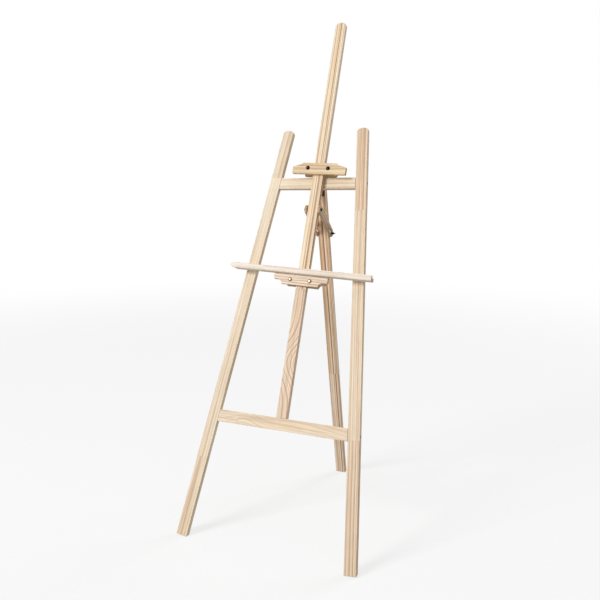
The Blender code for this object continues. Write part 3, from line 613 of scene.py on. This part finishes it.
# ---------------------------------------------------------------- mast
half = MAST_W / 2
loop = [(-half, STOCK_W / 2 + 2 * GAP), (half, STOCK_W / 2 + 2 * GAP)]
loop += arc(0, MAST_TOP - MAST_ARCH, half, MAST_ARCH, 0, 180, 32)
bm = solid(loop, -MAST_T / 2, MAST_T / 2)
ease(bm, 0.0013, 3)
pivot = (MASTF @ move(0, MAST_T / 2, 0)).inverted() @ LEANF @ Vector((0, PIVOT_D, PIVOT_V))
pivot_dir = ((MASTF.inverted() @ LEANF).to_3x3() @ Vector((1, 0, 0))).normalized()
mesh = drilled(to_mesh(bm, "mast"), [cylinder(0.0028, pivot + pivot_dir * 0.03, pivot - pivot_dir * 0.03, 28)], "mast")
piece(mesh, "mast_wood", MASTF @ move(0, MAST_T / 2, 0), "frame", "mast",
      pine("pine_mast", MAST_TONES, srgb(176, 122, 86),
           ((-9.0, 0.72, 0.34, (1.05, 1.015, 0.985)), (0.402, 0.32, 1.0, (1.03, 1.005, 0.985)),
            (0.765, 0.26, 1.0, (1.02, 1.01, 0.985))), pith=(0.052, 0.018), spacing=0.0094, tilt=(-0.02, 0.0),
           seed=15.2, wander=0.003, stripes=(150.0, 0.55), swells=((0.182, 0.070, 0.046),)))

# ---------------------------------------------------------------- rear leg
bm = solid([(-REAR_W / 2, -1.08), (REAR_W / 2, -1.08), (REAR_W / 2, -0.0032), (-REAR_W / 2, -0.0032)],
           -REAR_T / 2, REAR_T / 2)
place = PINF @ ry(REAR_SKEW) @ move(0, REAR_FACE + REAR_T / 2, 0)
inv = place.inverted()
cut_off(bm, inv @ Vector((0, 0.3, 0)), (inv.to_3x3() @ Vector((0, 0, -1))).normalized())
ease(bm, 0.0013, 3)
clamp_at = inv @ PINF @ Vector((0, REAR_FACE + REAR_T / 2, -CLAMP_R))
mesh = drilled(to_mesh(bm, "rear_leg"), [cylinder(0.0028, clamp_at + Vector((0.03, 0, 0)), clamp_at - Vector((0.03, 0, 0)), 28)], "rear_leg")
piece(mesh, "rear_leg_wood", place, "rear_leg", "rear_leg",
      pine("pine_rear_leg", REAR_TONES, BROWN,
           ((-9.0, 0.45, 1.05, (1.12, 1.07, 1.05)), (-0.63, 0.40, 1.1, (1.15, 1.11, 1.07))), pith=(0.026, 0.070),
           spacing=0.0072, tilt=(0.008, -0.004), seed=21.4, wander=0.004, stripes=(165.0, 0.5)))


# ---------------------------------------------------------------- slotted struts of the brace
def strut(name, u_range, mat):
    body = arc(0, 0, STRUT_R, STRUT_R, 0, 180, 32) + arc(0, -SLOT_FAR, STRUT_R, STRUT_R, 180, 360, 32)
    half_t = (u_range[1] - u_range[0]) / 2
    bm = solid(body, -half_t, half_t, "YZ")
    slot = arc(0, -SLOT_NEAR, SLOT_R, SLOT_R, 0, 180, 20) + arc(0, -SLOT_FAR, SLOT_R, SLOT_R, 180, 360, 20)
    mesh = drilled(to_mesh(bm, name), [to_mesh(solid(slot, -0.02, 0.02, "YZ"), "slot"),
                                       cylinder(BRACE_BOLT_R + GAP, (0.02, 0, 0), (-0.02, 0, 0), 28)], name)
    bm = bmesh.new()
    bm.from_mesh(mesh)
    ease(bm, 0.0008, 2)
    return piece(to_mesh(bm, name), name + "_wood", STRUTF @ move((u_range[0] + u_range[1]) / 2, 0, 0), "brace_struts",
                 name, mat)


strut("brace_left_strut", STRUT_LEFT_U,
      pine("pine_left_strut", STRUT_TONES, BROWN, pith=(0.05, 0.035), spacing=0.0050, tilt=(0.0, 0.02), seed=25.0,
           stripes=(190.0, 3.0)))
strut("brace_right_strut", STRUT_RIGHT_U,
      pine("pine_right_strut", STRUT_TONES, BROWN, pith=(0.06, -0.03), spacing=0.0055, tilt=(0.01, 0.0), seed=27.5,
           stripes=(190.0, 3.0)))


# ---------------------------------------------------------------- canvas clamp and tray plates
def plate_loop(end, flat, height, cove, up, swept=False):
    r = 0.0025
    right = arc(end - r, r, r, r, -90, 0, 6)
    if swept:
        right += [(end, height - cove - 0.0008), (end - 0.0003, height - cove - 0.0002), (end - 0.0008, height - cove)]
        right += [(flat + (end - flat) * t, height - cove * t ** 0.58)
                  for t in (0.9, 0.8, 0.7, 0.6, 0.5, 0.4, 0.3, 0.22, 0.15, 0.10, 0.06, 0.03, 0.01, 0.0)]
    else:
        tip = height - cove - 0.0002
        right += arc(end - r, tip - r, r, r, 0, 86, 6)
        right += list(reversed(arc(flat + cove, height, cove, cove, 180, 268, 18)))
    loop = right + [(-x, z) for x, z in reversed(right)]
    if not up:
        loop = [(x, -z) for x, z in reversed(loop)]
    return loop


def plate(node, frame_m, shape, flat_z, shift, front, body, mat):
    loop = [(x + shift, z + flat_z) for x, z in plate_loop(*shape)]
    bm = solid(loop, -PLATE_T / 2, PLATE_T / 2)
    ease(bm, 0.0008, 3, angle=40)
    bmesh.ops.transform(bm, matrix=LONG_X.inverted(), verts=bm.verts)
    y = -GAP - PLATE_T / 2 if front else MAST_T + GAP + PLATE_T / 2
    cutters = [cylinder(BOLT_HOLE_R, LONG_X.inverted() @ Vector((x, -0.02, 0)),
                        LONG_X.inverted() @ Vector((x, 0.02, 0)), 36) for x in (CLAMP_BOLTS if body == "canvas_clamp" else TRAY_BOLTS)]
    mesh = drilled(to_mesh(bm, node), cutters, node)
    return piece(mesh, node + "_wood", frame_m @ move(0, y, 0) @ LONG_X, body, node, mat)


plate("clamp_front_plate", CLAMPF, (PLATE_END, 0.0555, 0.0345, 0.0122, True, True), -0.0180, 0.0, True, "canvas_clamp",
      pine("pine_clamp_front", PLATE_TONES, srgb(190, 140, 98), ((-9.0, 0.50, 1.0, (0.955, 0.925, 0.90)),),
           pith=(0.030, 0.050), spacing=0.0085, tilt=(0.012, 0.0), seed=31.0, wander=0.002, stripes=(170.0, 2.0)))
plate("clamp_rear_plate", CLAMPF, (REAR_PLATE_END, 0.0510, 0.0345, 0.0120, False), 0.0168, -0.0025, False, "canvas_clamp",
      pine("pine_clamp_rear", PLATE_TONES, BROWN, ((-9.0, 0.45, 1.0, (0.96, 0.93, 0.90)),), pith=(-0.04, 0.05),
           spacing=0.0060, tilt=(0.02, 0.0), seed=33.0, stripes=(170.0, 2.0)))
plate("tray_front_bracket", TRAYF, (PLATE_END, 0.0595, 0.0315, 0.0128, False), BRACKET_TOP, 0.0, True, "tray",
      pine("pine_tray_front", BRACKET_TONES, srgb(196, 150, 114), ((-9.0, 0.55, 1.15, (1.06, 1.03, 1.02)),), pith=(0.04, 0.045),
           spacing=0.0060, tilt=(0.03, 0.02), seed=35.0, stripes=(170.0, 2.0)))
plate("tray_rear_bracket", TRAYF, (REAR_PLATE_END, 0.0500, 0.0317, 0.0120, False), BRACKET_TOP, 0.0, False, "tray",
      pine("pine_tray_rear", BRACKET_TONES, BROWN, ((-9.0, 0.45, 1.0, (0.95, 0.92, 0.90)),), pith=(-0.04, -0.05),
           spacing=0.0055, tilt=(0.02, 0.0), seed=37.0, stripes=(170.0, 2.0)))

# ---------------------------------------------------------------- tray bar
front, rear = -GAP - BAR_DEPTH, -GAP
ledge_top, lip_top = BAR_BOTTOM + BAR_LEDGE_H, BAR_BOTTOM + BAR_LIP_H
profile = arc(front + BAR_ROUND, BAR_BOTTOM + BAR_ROUND, BAR_ROUND, BAR_ROUND, 180, 270, 10)
profile += [(rear, BAR_BOTTOM), (rear, ledge_top), (front + BAR_LIP_T, ledge_top), (front + BAR_LIP_T, lip_top)]
profile += arc(front + 0.0018, lip_top - 0.0018, 0.0018, 0.0018, 90, 180, 6)
bm = solid(profile, -BAR_L / 2, BAR_L / 2, "YZ")
ease(bm, 0.0011, 3, angle=60, choose=lambda e: abs(e.verts[0].co.x - e.verts[1].co.x) > 0.1)
bar_mesh = to_mesh(bm, "tray_bar")
mid, tall, end = (BAR_BOTTOM + lip_top) / 2, BAR_LIP_H / 2, BAR_L / 2
ends = arc(end - 0.0015, BAR_BOTTOM + 0.0015, 0.0015, 0.0015, -90, 0, 5)
ends += arc(end - 0.0015, lip_top - 0.0015, 0.0015, 0.0015, 0, 90, 5)
ends += arc(-end + 0.010, mid + 0.001, 0.010, tall - 0.001, 90, 180, 14)
ends += arc(-end + 0.021, mid + 0.001, 0.021, tall + 0.001, 180, 270, 18)[1:]
bar_mesh = drilled(bar_mesh, [to_mesh(solid(ends, -0.03, 0.03), "ends")], "tray_bar", "INTERSECT")
bm = bmesh.new()
bm.from_mesh(bar_mesh)
bmesh.ops.remove_doubles(bm, verts=bm.verts, dist=0.00002)
ease(bm, 0.0008, 2, angle=50, choose=lambda e: abs(e.verts[0].co.x - e.verts[1].co.x) < 0.02
     and min(abs(abs(v.co.x) - end) for v in e.verts) < 0.017)
bmesh.ops.transform(bm, matrix=LONG_X.inverted(), verts=bm.verts)
bar_mesh = to_mesh(bm, "tray_bar")
screw_y = -GAP - PLATE_T / 2
cutters = [cylinder(0.0031, LONG_X.inverted() @ Vector((s * 0.048 - BAR_Q, screw_y, ledge_top + 0.01)),
                    LONG_X.inverted() @ Vector((s * 0.048 - BAR_Q, screw_y, ledge_top - 0.0026)), 32) for s in (-1, 1)]
bar_mesh = drilled(bar_mesh, cutters, "tray_bar")
piece(bar_mesh, "tray_bar_wood", TRAYF @ move(BAR_Q, 0, 0) @ LONG_X, "tray", "tray_bar",
      pine("pine_tray_bar", TRAY_TONES, srgb(212, 176, 140),
           ((-9.0, 0.30, 1.1, (1.02, 1.005, 0.985)), (-0.118, 0.45, 1.1, (1.02, 0.985, 0.96)), (0.121, 0.40, 1.1, (1.0, 0.97, 0.935))),
           pith=(0.07, 0.05), spacing=0.0060, tilt=(0.005, 0.010), seed=41.0, stripes=(150.0, 1.2)))

# ---------------------------------------------------------------- hardware
METALS = {"black_steel": black_steel, "zinc_steel": brass_zinc, "hinge_steel": shade_dark_hinge, "screw_steel": plated}
SLOTS = {sub["node"]: sub["material_slot"] for sub in frame["record"]["subparts"]}
BODY_OF = {node: body for body, nodes in frame["record"]["behaviour"]["bodies"].items() for node in nodes}


def fitting(mesh, node, matrix, smooth=38, mat=None, weighted=True):
    """A detailed piece of hardware in place of its CAD node."""
    slot = SLOTS[node]
    return piece(mesh, node + "_metal", matrix, BODY_OF[node], node, mat or METALS[slot], weighted, smooth)


def cross_recess(size, depth, top):
    """Two tapered blades that cut a cross recess into a screw head."""
    meshes = []
    for turn in (0.0, 90.0):
        bm = solid([(-size, top + 0.0004), (-size, top), (-size * 0.30, top - depth), (size * 0.30, top - depth),
                    (size, top), (size, top + 0.0004)], -size * 0.16, size * 0.16)
        bmesh.ops.transform(bm, matrix=rz(rad(turn)), verts=bm.verts)
        meshes.append(to_mesh(bm, "recess"))
    return meshes


def dome_bolt(shaft_r, length, head_r, head_h, pitch, grip):
    rim = head_h * 0.24
    rows = [(0.0, head_h)]
    rows += [(head_r * math.sin(a), rim + (head_h - rim) * math.cos(a)) for a in
             (0.10, 0.22, 0.35, 0.5, 0.65, 0.8, 0.95, 1.1, 1.25, 1.38, 1.48)]
    rows += [(head_r, rim, 1.0), (head_r, 0.0003, 1.0), (head_r - 0.0003, 0.0, 0.4), (shaft_r + 0.0004, 0.0),
             (shaft_r, -0.0004), (shaft_r, -grip)]
    rows += thread_rows(shaft_r, pitch, pitch * 0.42, -grip - 0.0001, -length + 0.0008)
    rows += [(shaft_r - pitch * 0.45, -length + 0.0002, 1.0), (shaft_r * 0.72, -length, 0.6), (0.0, -length)]
    return lathe(rows, 48, name="bolt")


def washer(inner, outer, thick):
    c = 0.00025
    return lathe([(outer - c, thick, 0.5), (outer, thick - c, 1.0), (outer, c, 1.0), (outer - c, 0.0, 0.5),
                  (inner + c, 0.0, 0.3), (inner, c, 0.3), (inner, thick - c, 0.3), (inner + c, thick, 0.5)],
                 56, closed=True, name="washer")


def mark_worn(mesh, gain=1.0):
    """Marks the outward-curving parts, where hands and spanners rub the finish away."""
    bm = bmesh.new()
    bm.from_mesh(mesh)
    layer = bm.verts.layers.float.get("wear") or bm.verts.layers.float.new("wear")
    bm.normal_update()
    raw = {}
    for v in bm.verts:
        if not v.link_edges:
            continue
        near = [e.other_vert(v).co for e in v.link_edges]
        middle = sum(near, Vector()) / len(near)
        reach = sum((n - v.co).length for n in near) / len(near)
        raw[v] = max(0.0, (v.co - middle).dot(v.normal) / max(reach, 1e-9))
    for v, value in raw.items():
        around = [raw.get(e.other_vert(v), 0.0) for e in v.link_edges]
        value = (value + sum(around)) / (1 + len(around))
        v[layer] = min(1.0, max(0.0, (value * gain - 0.05) * 6.0))
    bm.to_mesh(mesh)
    bm.free()
    return mesh


def wing_nut(name, bore_r, hub_r, hub_h, span, rise, pitch, voxel):
    """Cast wing nut: tapered hub and two swept wings run together, with a tapped hole."""
    hub = lathe([(0.0, hub_h), (hub_r * 0.70, hub_h), (hub_r * 0.78, hub_h - 0.0005), (hub_r * 0.98, 0.0012),
                 (hub_r, 0.0006), (hub_r * 0.97, 0.0), (0.0, 0.0)], 48, name="hub")
    wing = [(hub_r * 0.35, hub_h * 0.14), (hub_r * 1.15, hub_h * 0.20)]
    wing += arc(span - 0.0036, hub_h * 0.9, 0.0030, hub_h * 0.64, -70, 0, 8)[1:]
    wing += arc(span - 0.0022, rise - 0.0022, 0.0022, 0.0022, 0, 170, 12)
    wing += [(hub_r * 1.25, hub_h * 1.05), (hub_r * 0.85, hub_h * 0.92), (hub_r * 0.35, hub_h * 0.88)]
    bm = bmesh.new()
    bm.from_mesh(hub)
    for side in (1, -1):
        loop = [(side * x, z) for x, z in wing]
        blade = solid(loop, -0.0011, 0.0011)
        # the wings thin out towards their tips
        for v in blade.verts:
            v.co.y *= 1.25 - 0.55 * min(1.0, max(0.0, (abs(v.co.x) - hub_r * 0.6) / (span - hub_r * 0.6)))
        ease(blade, 0.0005, 2, angle=50)
        part = to_mesh(blade, "blade")
        bm.from_mesh(part)
    ob = loose(to_mesh(bm, name), name)
    remesh = ob.modifiers.new("cast", "REMESH")
    remesh.mode = "VOXEL"
    remesh.voxel_size = voxel
    soft = ob.modifiers.new("soft", "SMOOTH")
    soft.factor = 0.5
    soft.iterations = 5
    mesh = bake(ob, name)
    bpy.data.objects.remove(ob, do_unlink=True)
    low, high = min(v.co.z for v in mesh.vertices), max(v.co.z for v in mesh.vertices)
    for v in mesh.vertices:
        v.co.z = (v.co.z - low) * (rise / (high - low))
    mark_worn(mesh)
    bore = lathe([(0.0, hub_h + 0.004), (bore_r + 0.0003, hub_h + 0.004), (bore_r + 0.0003, hub_h), (bore_r - 0.0001, hub_h - 0.0004)]
                 + thread_rows(bore_r, pitch, pitch * 0.18, hub_h - 0.0004, 0.0004, per=6)
                 + [(bore_r, 0.0004), (bore_r + 0.0004, 0.0), (bore_r + 0.0004, -0.002), (0.0, -0.002)], 40, name="bore")
    return drilled(mesh, [bore], name)


def hex_nut(radius, height, bore_r, pitch):
    bm = bmesh.new()
    bmesh.ops.create_cone(bm, cap_ends=True, segments=6, radius1=radius, radius2=radius, depth=height)
    h = height / 2
    body = lathe([(0.0, h), (radius * 0.90, h), (radius * 1.02, h - 0.0006), (radius * 1.02, -h + 0.0006),
                  (radius * 0.90, -h), (0.0, -h)], 60, name="chamfer")
    bore = lathe([(0.0, h + 0.002), (bore_r + 0.0003, h + 0.002), (bore_r + 0.0003, h), (bore_r, h - 0.0003)]
                 + thread_rows(bore_r, pitch, pitch * 0.3, h - 0.0003, -h + 0.0003, per=6)
                 + [(bore_r, -h + 0.0003), (bore_r + 0.0003, -h), (bore_r + 0.0003, -h - 0.002), (0.0, -h - 0.002)], 36,
                 name="bore")
    nut = drilled(to_mesh(bm, "nut"), [body], "nut", "INTERSECT")
    nut = drilled(nut, [bore], "nut")
    return mark_worn(nut, 0.6)


def tube(inner, outer, length):
    c = 0.0002
    return lathe([(outer - c, length, 0.5), (outer, length - c, 1.0), (outer, c, 1.0), (outer - c, 0.0, 0.5),
                  (inner + c, 0.0), (inner, c), (inner, length - c), (inner + c, length)], 48, closed=True, name="tube")


def flush_screw(shaft_r, length, head_r, head_h):
    """Countersunk wood screw with a cross recess; its head is level with z = 0."""
    start, point = -head_h - 0.0035, -length

    def body(z):
        return shaft_r * min(1.0, max(0.16, (z - point) / (3.2 * shaft_r)))

    rows = [(0.0, 0.0), (head_r * 0.5, 0.0), (head_r - 0.0002, 0.0, 0.8), (head_r, -head_h * 0.08, 1.0),
            (head_r, -head_h * 0.22, 0.6), (shaft_r, -head_h), (shaft_r * 0.82, -head_h - 0.0010), (shaft_r * 0.82, start)]
    rows += thread_rows(shaft_r, 0.0018, shaft_r * 0.34, start - 0.0001, point + 0.0004, per=6, body=body)
    rows += [(0.0, point)]
    mesh = lathe(rows, 32, name="screw")
    return drilled(mesh, cross_recess(head_r * 0.58, head_h * 0.62, 0.0), "screw")


def pan_screw(shaft_r, length, head_r, head_h):
    """Round-headed wood screw with a cross recess; its head stands on z = 0."""
    point = -length

    def body(z):
        return shaft_r * min(1.0, max(0.16, (z - point) / (3.2 * shaft_r)))

    rows = [(0.0, head_h)] + [(head_r * math.sin(a), head_h * (0.12 + 0.88 * math.cos(a)))
                              for a in (0.15, 0.3, 0.5, 0.7, 0.9, 1.1, 1.3, 1.45)]
    rows += [(head_r, head_h * 0.10, 1.0), (head_r - 0.0001, 0.0, 0.6), (shaft_r, 0.0), (shaft_r, -0.0010)]
    rows += thread_rows(shaft_r, 0.0013, shaft_r * 0.34, -0.0011, point + 0.0004, per=6, body=body)
    rows += [(0.0, point)]
    mesh = lathe(rows, 32, name="screw")
    return drilled(mesh, cross_recess(head_r * 0.55, head_h * 0.75, head_h), "screw")


def hinge_leaf(name, direction, parts, plate_y, back):
    """Pressed leaf with rounded corners, rolled knuckles and two countersunk holes."""
    r, near, far = 0.0022, 0.0033, LEAF_END
    loop = [(-HINGE_HALF, near), (HINGE_HALF, near)] + arc(HINGE_HALF - r, far - r, r, r, 0, 90, 8)
    loop += arc(-HINGE_HALF + r, far - r, r, r, 90, 180, 8)
    loop = [(x, direction * z) for x, z in loop]
    bm = solid(loop, plate_y, plate_y + LEAF_T)
    ease(bm, 0.00022, 2)
    adds = []
    for x0, x1 in parts:
        tab = solid([(x0, 0.0), (x1, 0.0), (x1, direction * 0.0062), (x0, direction * 0.0062)], plate_y, plate_y + LEAF_T)
        adds.append(to_mesh(tab, "tab"))
        c = 0.0003
        barrel = lathe([(0.0, x1), (BARREL_R - c, x1, 0.5), (BARREL_R, x1 - c, 1.0), (BARREL_R, x0 + c, 1.0),
                        (BARREL_R - c, x0, 0.5), (0.0, x0)], 40, turn=ry(rad(90)), name="barrel")
        adds.append(barrel)
    mesh = drilled(to_mesh(bm, name), adds, name, "UNION")
    outer = plate_y + LEAF_T if back > 0 else plate_y
    cutters = [cylinder(PIN_R + GAP, (0.02, 0, 0), (-0.02, 0, 0), 32)]
    for s in (-1, 1):
        top = Vector((s * 0.010, outer + back * 0.00001, direction * 0.0135))
        cutters.append(cylinder(0.0018, top, top - Vector((0, back * 0.004, 0)), 28, chamfer=0.0004, chamfer_r=0.0004))
    return drilled(mesh, cutters, name)


# hinge: fixed leaf on the crossbar, moving leaf on the rear leg
fitting(hinge_leaf("hinge_fixed_leaf", 1, [(-HINGE_HALF, -KNUCKLE - GAP), (KNUCKLE + GAP, HINGE_HALF)], -0.0032, 1),
        "hinge_fixed_leaf", FIXEDF)
fitting(hinge_leaf("hinge_moving_leaf", -1, [(-KNUCKLE, KNUCKLE)], 0.0007, -1), "hinge_moving_leaf", PINF)
fitting(lathe([(0.0, 0.0163), (0.0012, 0.0163, 0.6), (0.0019, 0.01615, 1.0), (0.0022, 0.0158, 1.0), (0.0022, 0.0155, 1.0),
               (0.0020, 0.0153), (PIN_R, 0.0153), (PIN_R, -0.0153), (0.0020, -0.0153), (0.0022, -0.0155, 1.0),
               (0.0022, -0.0158, 1.0), (0.0019, -0.01615, 1.0), (0.0012, -0.0163, 0.6), (0.0, -0.0163)], 40, name="pin"),
        "hinge_pin", FIXEDF @ PLUS_X)
leaf_screw = pan_screw(0.0015, 0.0115, 0.0028, 0.0013)
for side, word in ((-1, "left"), (1, "right")):
    x = side * 0.010
    fitting(leaf_screw.copy(), f"hinge_crossbar_screw_{word}",
            FIXEDF @ move(x, -0.0032 + LEAF_T + GAP, 0.0135) @ PLUS_Y @ rz(rad(20 + 50 * side)))
    fitting(leaf_screw.copy(), f"hinge_leg_screw_{word}",
            PINF @ move(x, 0.0007 - GAP, -0.0135) @ MINUS_Y @ rz(rad(35 - 30 * side)))

# screws through the legs, and those that hold the mast
long_screw = flush_screw(0.0020, 0.060, 0.0038, 0.0030)
for v, word_v in ((UPPER_BAR_V, "upper"), (LOWER_BAR_V, "lower")):
    outer = LEG_FOOT_U - SPLAY * v + STOCK_W / 2 / math.cos(SPLAY_ANGLE)
    for side, word, way in ((-1, "left", MINUS_X), (1, "right", PLUS_X)):
        fitting(long_screw.copy(), f"{word_v}_crossbar_screw_{word}",
                LEANF @ move(side * (outer - 0.0018), STOCK_T / 2, v) @ way @ rz(rad(17 + 31 * side + 60 * v)))
top_screw = flush_screw(0.00175, 0.0235, 0.0030, 0.0024)
for word, v in (("low", 1.0768), ("high", 1.0988)):
    fitting(top_screw.copy(), f"mast_top_screw_{word}",
            LEANF @ move(0.0064, STOCK_T - 0.0003, v) @ PLUS_Y @ rz(rad(40 if word == "low" else 12)))
fitting(flush_screw(0.0020, 0.056, 0.0038, 0.0030), "mast_foot_screw",
        LEANF @ move(MAST_FOOT_U, STOCK_T / 2, LOWER_BAR_V - STOCK_W / 2 + 0.0006) @ rx(rad(180)) @ rz(rad(25)))
ledge_screw = flush_screw(0.0015, 0.0270, 0.0028, 0.0020)
for side, word in ((-1, "left"), (1, "right")):
    fitting(ledge_screw.copy(), f"tray_ledge_screw_{word}",
            TRAYF @ move(side * 0.048, -GAP - PLATE_T / 2, ledge_top - 0.0003) @ rz(rad(15 + 40 * side)))

# brace hardware
left_face, right_face = STRUT_LEFT_U[0], STRUT_RIGHT_U[1]
pivot_at = LEANF @ move(0, PIVOT_D, PIVOT_V)
length = right_face - left_face + 2 * GAP + 0.0056
fitting(dome_bolt(BRACE_BOLT_R, length, 0.0050, 0.0030, 0.0008, length - 0.012), "brace_pivot_bolt",
        pivot_at @ move(right_face + GAP, 0, 0) @ PLUS_X)
fitting(hex_nut(0.0046, 0.0040, BRACE_BOLT_R + GAP, 0.0008), "brace_pivot_nut",
        pivot_at @ move(left_face - GAP - 0.0020, 0, 0) @ PLUS_X)
fitting(tube(BRACE_BOLT_R + GAP, 0.0060, 0.0021), "brace_pivot_spacer", pivot_at @ move(STRUT_LEFT_U[1] + GAP, 0, 0) @ PLUS_X)
bolt_y = REAR_FACE + REAR_T / 2
clamp_at = PINF @ move(-PIN[0], bolt_y, -CLAMP_R)
length = right_face - left_face + 3 * GAP + WASHER_T + 0.0088
fitting(dome_bolt(BRACE_BOLT_R, length, 0.0052, 0.0030, 0.0008, length - 0.018), "brace_clamp_bolt",
        clamp_at @ move(left_face - WASHER_T - 2 * GAP, 0, 0) @ MINUS_X)
fitting(washer(BRACE_BOLT_R + GAP, 0.0066, WASHER_T), "brace_washer_left", clamp_at @ move(left_face - GAP - WASHER_T, 0, 0) @ PLUS_X)
fitting(washer(BRACE_BOLT_R + GAP, 0.0066, WASHER_T), "brace_washer_right", clamp_at @ move(right_face + GAP, 0, 0) @ PLUS_X)
fitting(tube(BRACE_BOLT_R + GAP, 0.0060, 0.0020), "brace_clamp_spacer", clamp_at @ move(0.0207, 0, 0) @ PLUS_X)
fitting(wing_nut("small_wing_nut", BRACE_BOLT_R + GAP, 0.0044, 0.0052, 0.0090, 0.0082, 0.0008, 0.00028), "brace_wing_nut",
        clamp_at @ move(right_face + 2 * GAP + WASHER_T, 0, 0) @ rx(rad(78)) @ PLUS_X, 50)

# clamp and tray hardware
big_wing = wing_nut("large_wing_nut", BOLT_HOLE_R, 0.0055, 0.0068, 0.0100, 0.0112, 0.0010, 0.00034)
back = MAST_T + GAP + PLATE_T
length = back + PLATE_T + 3 * GAP + WASHER_T + 0.0100
for slider, frame_m, bolts, turns in (("clamp", CLAMPF, CLAMP_BOLTS, (25, -40)), ("tray", TRAYF, TRAY_BOLTS, (70, 12))):
    for x, word, turn in ((bolts[0], "left", turns[0]), (bolts[1], "right", turns[1])):
        fitting(dome_bolt(BOLT_R, length, 0.0060, 0.0032, 0.0010, length - 0.020), f"{slider}_bolt_{word}",
                frame_m @ move(x, -PLATE_T - 2 * GAP, 0) @ MINUS_Y @ rz(rad(turn)))
        fitting(washer(BOLT_HOLE_R, 0.0075, WASHER_T), f"{slider}_washer_{word}", frame_m @ move(x, back + GAP, 0) @ PLUS_Y)
        fitting(big_wing.copy(), f"{slider}_wing_nut_{word}",
                frame_m @ move(x, back + 2 * GAP + WASHER_T, 0) @ ry(rad(turn)) @ PLUS_Y, 50)

# ---------------------------------------------------------------- floor, light and camera
bpy.ops.mesh.primitive_circle_add(vertices=96, radius=40, fill_type="NGON", location=(0, 0, 0))
floor = bpy.context.active_object
floor.name = "studio_floor"
mat, g = new_material("pale_floor")
p = g.node("ShaderNodeTexCoord").outputs["Object"]
far = g.range(g.vector("LENGTH", p), 2.0, 6.0)
grain = g.noise(g.vector("MULTIPLY", p, (90.0, 90.0, 90.0)), 3.0)
g.put(g.shader.inputs["Base Color"], g.mix(g.range(grain, 0.3, 0.7), (0.86, 0.86, 0.86), (0.89, 0.89, 0.89)))
g.shader.inputs["Roughness"].default_value = 0.9
g.shader.inputs["Specular IOR Level"].default_value = 0.1
glow = g.node("ShaderNodeEmission")
glow.inputs["Color"].default_value = (1, 1, 1, 1)
glow.inputs["Strength"].default_value = 1.0
mix = g.node("ShaderNodeMixShader")
g.put(mix.inputs[0], g.math("ADD", g.math("MULTIPLY", far, 0.30), 0.70))
g.put(glow.inputs["Strength"], g.math("MULTIPLY_ADD", g.node("ShaderNodeLightPath").outputs["Is Camera Ray"], 0.68, 0.32))
g.tree.links.new(g.shader.outputs[0], mix.inputs[1])
g.tree.links.new(glow.outputs[0], mix.inputs[2])
g.tree.links.new(mix.outputs[0], g.tree.nodes["Material Output"].inputs["Surface"])
floor.data.materials.append(mat)

world = bpy.data.worlds.new("studio")
scene.world = world
world.use_nodes = True
tree = world.node_tree
background = tree.nodes["Background"]
background.inputs["Color"].default_value = (1.0, 1.0, 1.0, 1.0)
background.inputs["Strength"].default_value = 0.31
seen = tree.nodes.new("ShaderNodeBackground")
seen.inputs["Color"].default_value = (1.0, 1.0, 1.0, 1.0)
seen.inputs["Strength"].default_value = 1.0
path = tree.nodes.new("ShaderNodeLightPath")
pick = tree.nodes.new("ShaderNodeMixShader")
tree.links.new(path.outputs["Is Camera Ray"], pick.inputs[0])
tree.links.new(background.outputs[0], pick.inputs[1])
tree.links.new(seen.outputs[0], pick.inputs[2])
tree.links.new(pick.outputs[0], tree.nodes["World Output"].inputs["Surface"])


def area(name, location, target, size, power):
    data = bpy.data.lights.new(name, "AREA")
    data.shape = "RECTANGLE"
    data.size, data.size_y = size
    data.energy = power
    ob = bpy.data.objects.new(name, data)
    scene.collection.objects.link(ob)
    ob.location = location
    ob.rotation_euler = (Vector(target) - Vector(location)).to_track_quat("-Z", "Y").to_euler()
    return ob


area("key_softbox", (-4.8, -7.2, 5.7), (0, 0, 0.75), (3.4, 3.4), 695)
area("top_softbox", (0.4, -0.6, 4.6), (0, 0, 0.6), (2.6, 2.6), 22)
area("rear_softbox", (3.6, 6.4, 4.6), (0, 0, 0.7), (4.2, 4.2), 230)

camera = bpy.data.objects.new("camera", bpy.data.cameras.new("camera"))
scene.collection.objects.link(camera)
camera.location = (0.79994, -1.5075 + FRONT_Y, 0.97843 + FLOOR_LIFT)
camera.rotation_euler = (math.pi / 2 - 0.15602, 0.0, 0.42429)
camera.data.sensor_width = 36.0
camera.data.lens = 665.634 / 600 * 36.0
camera.data.clip_start, camera.data.clip_end = 0.05, 200
scene.camera = camera
scene.view_settings.view_transform = "Standard"
scene.view_settings.look = "None"
scene.view_settings.exposure = 0.0
scene.view_settings.gamma = 1.0
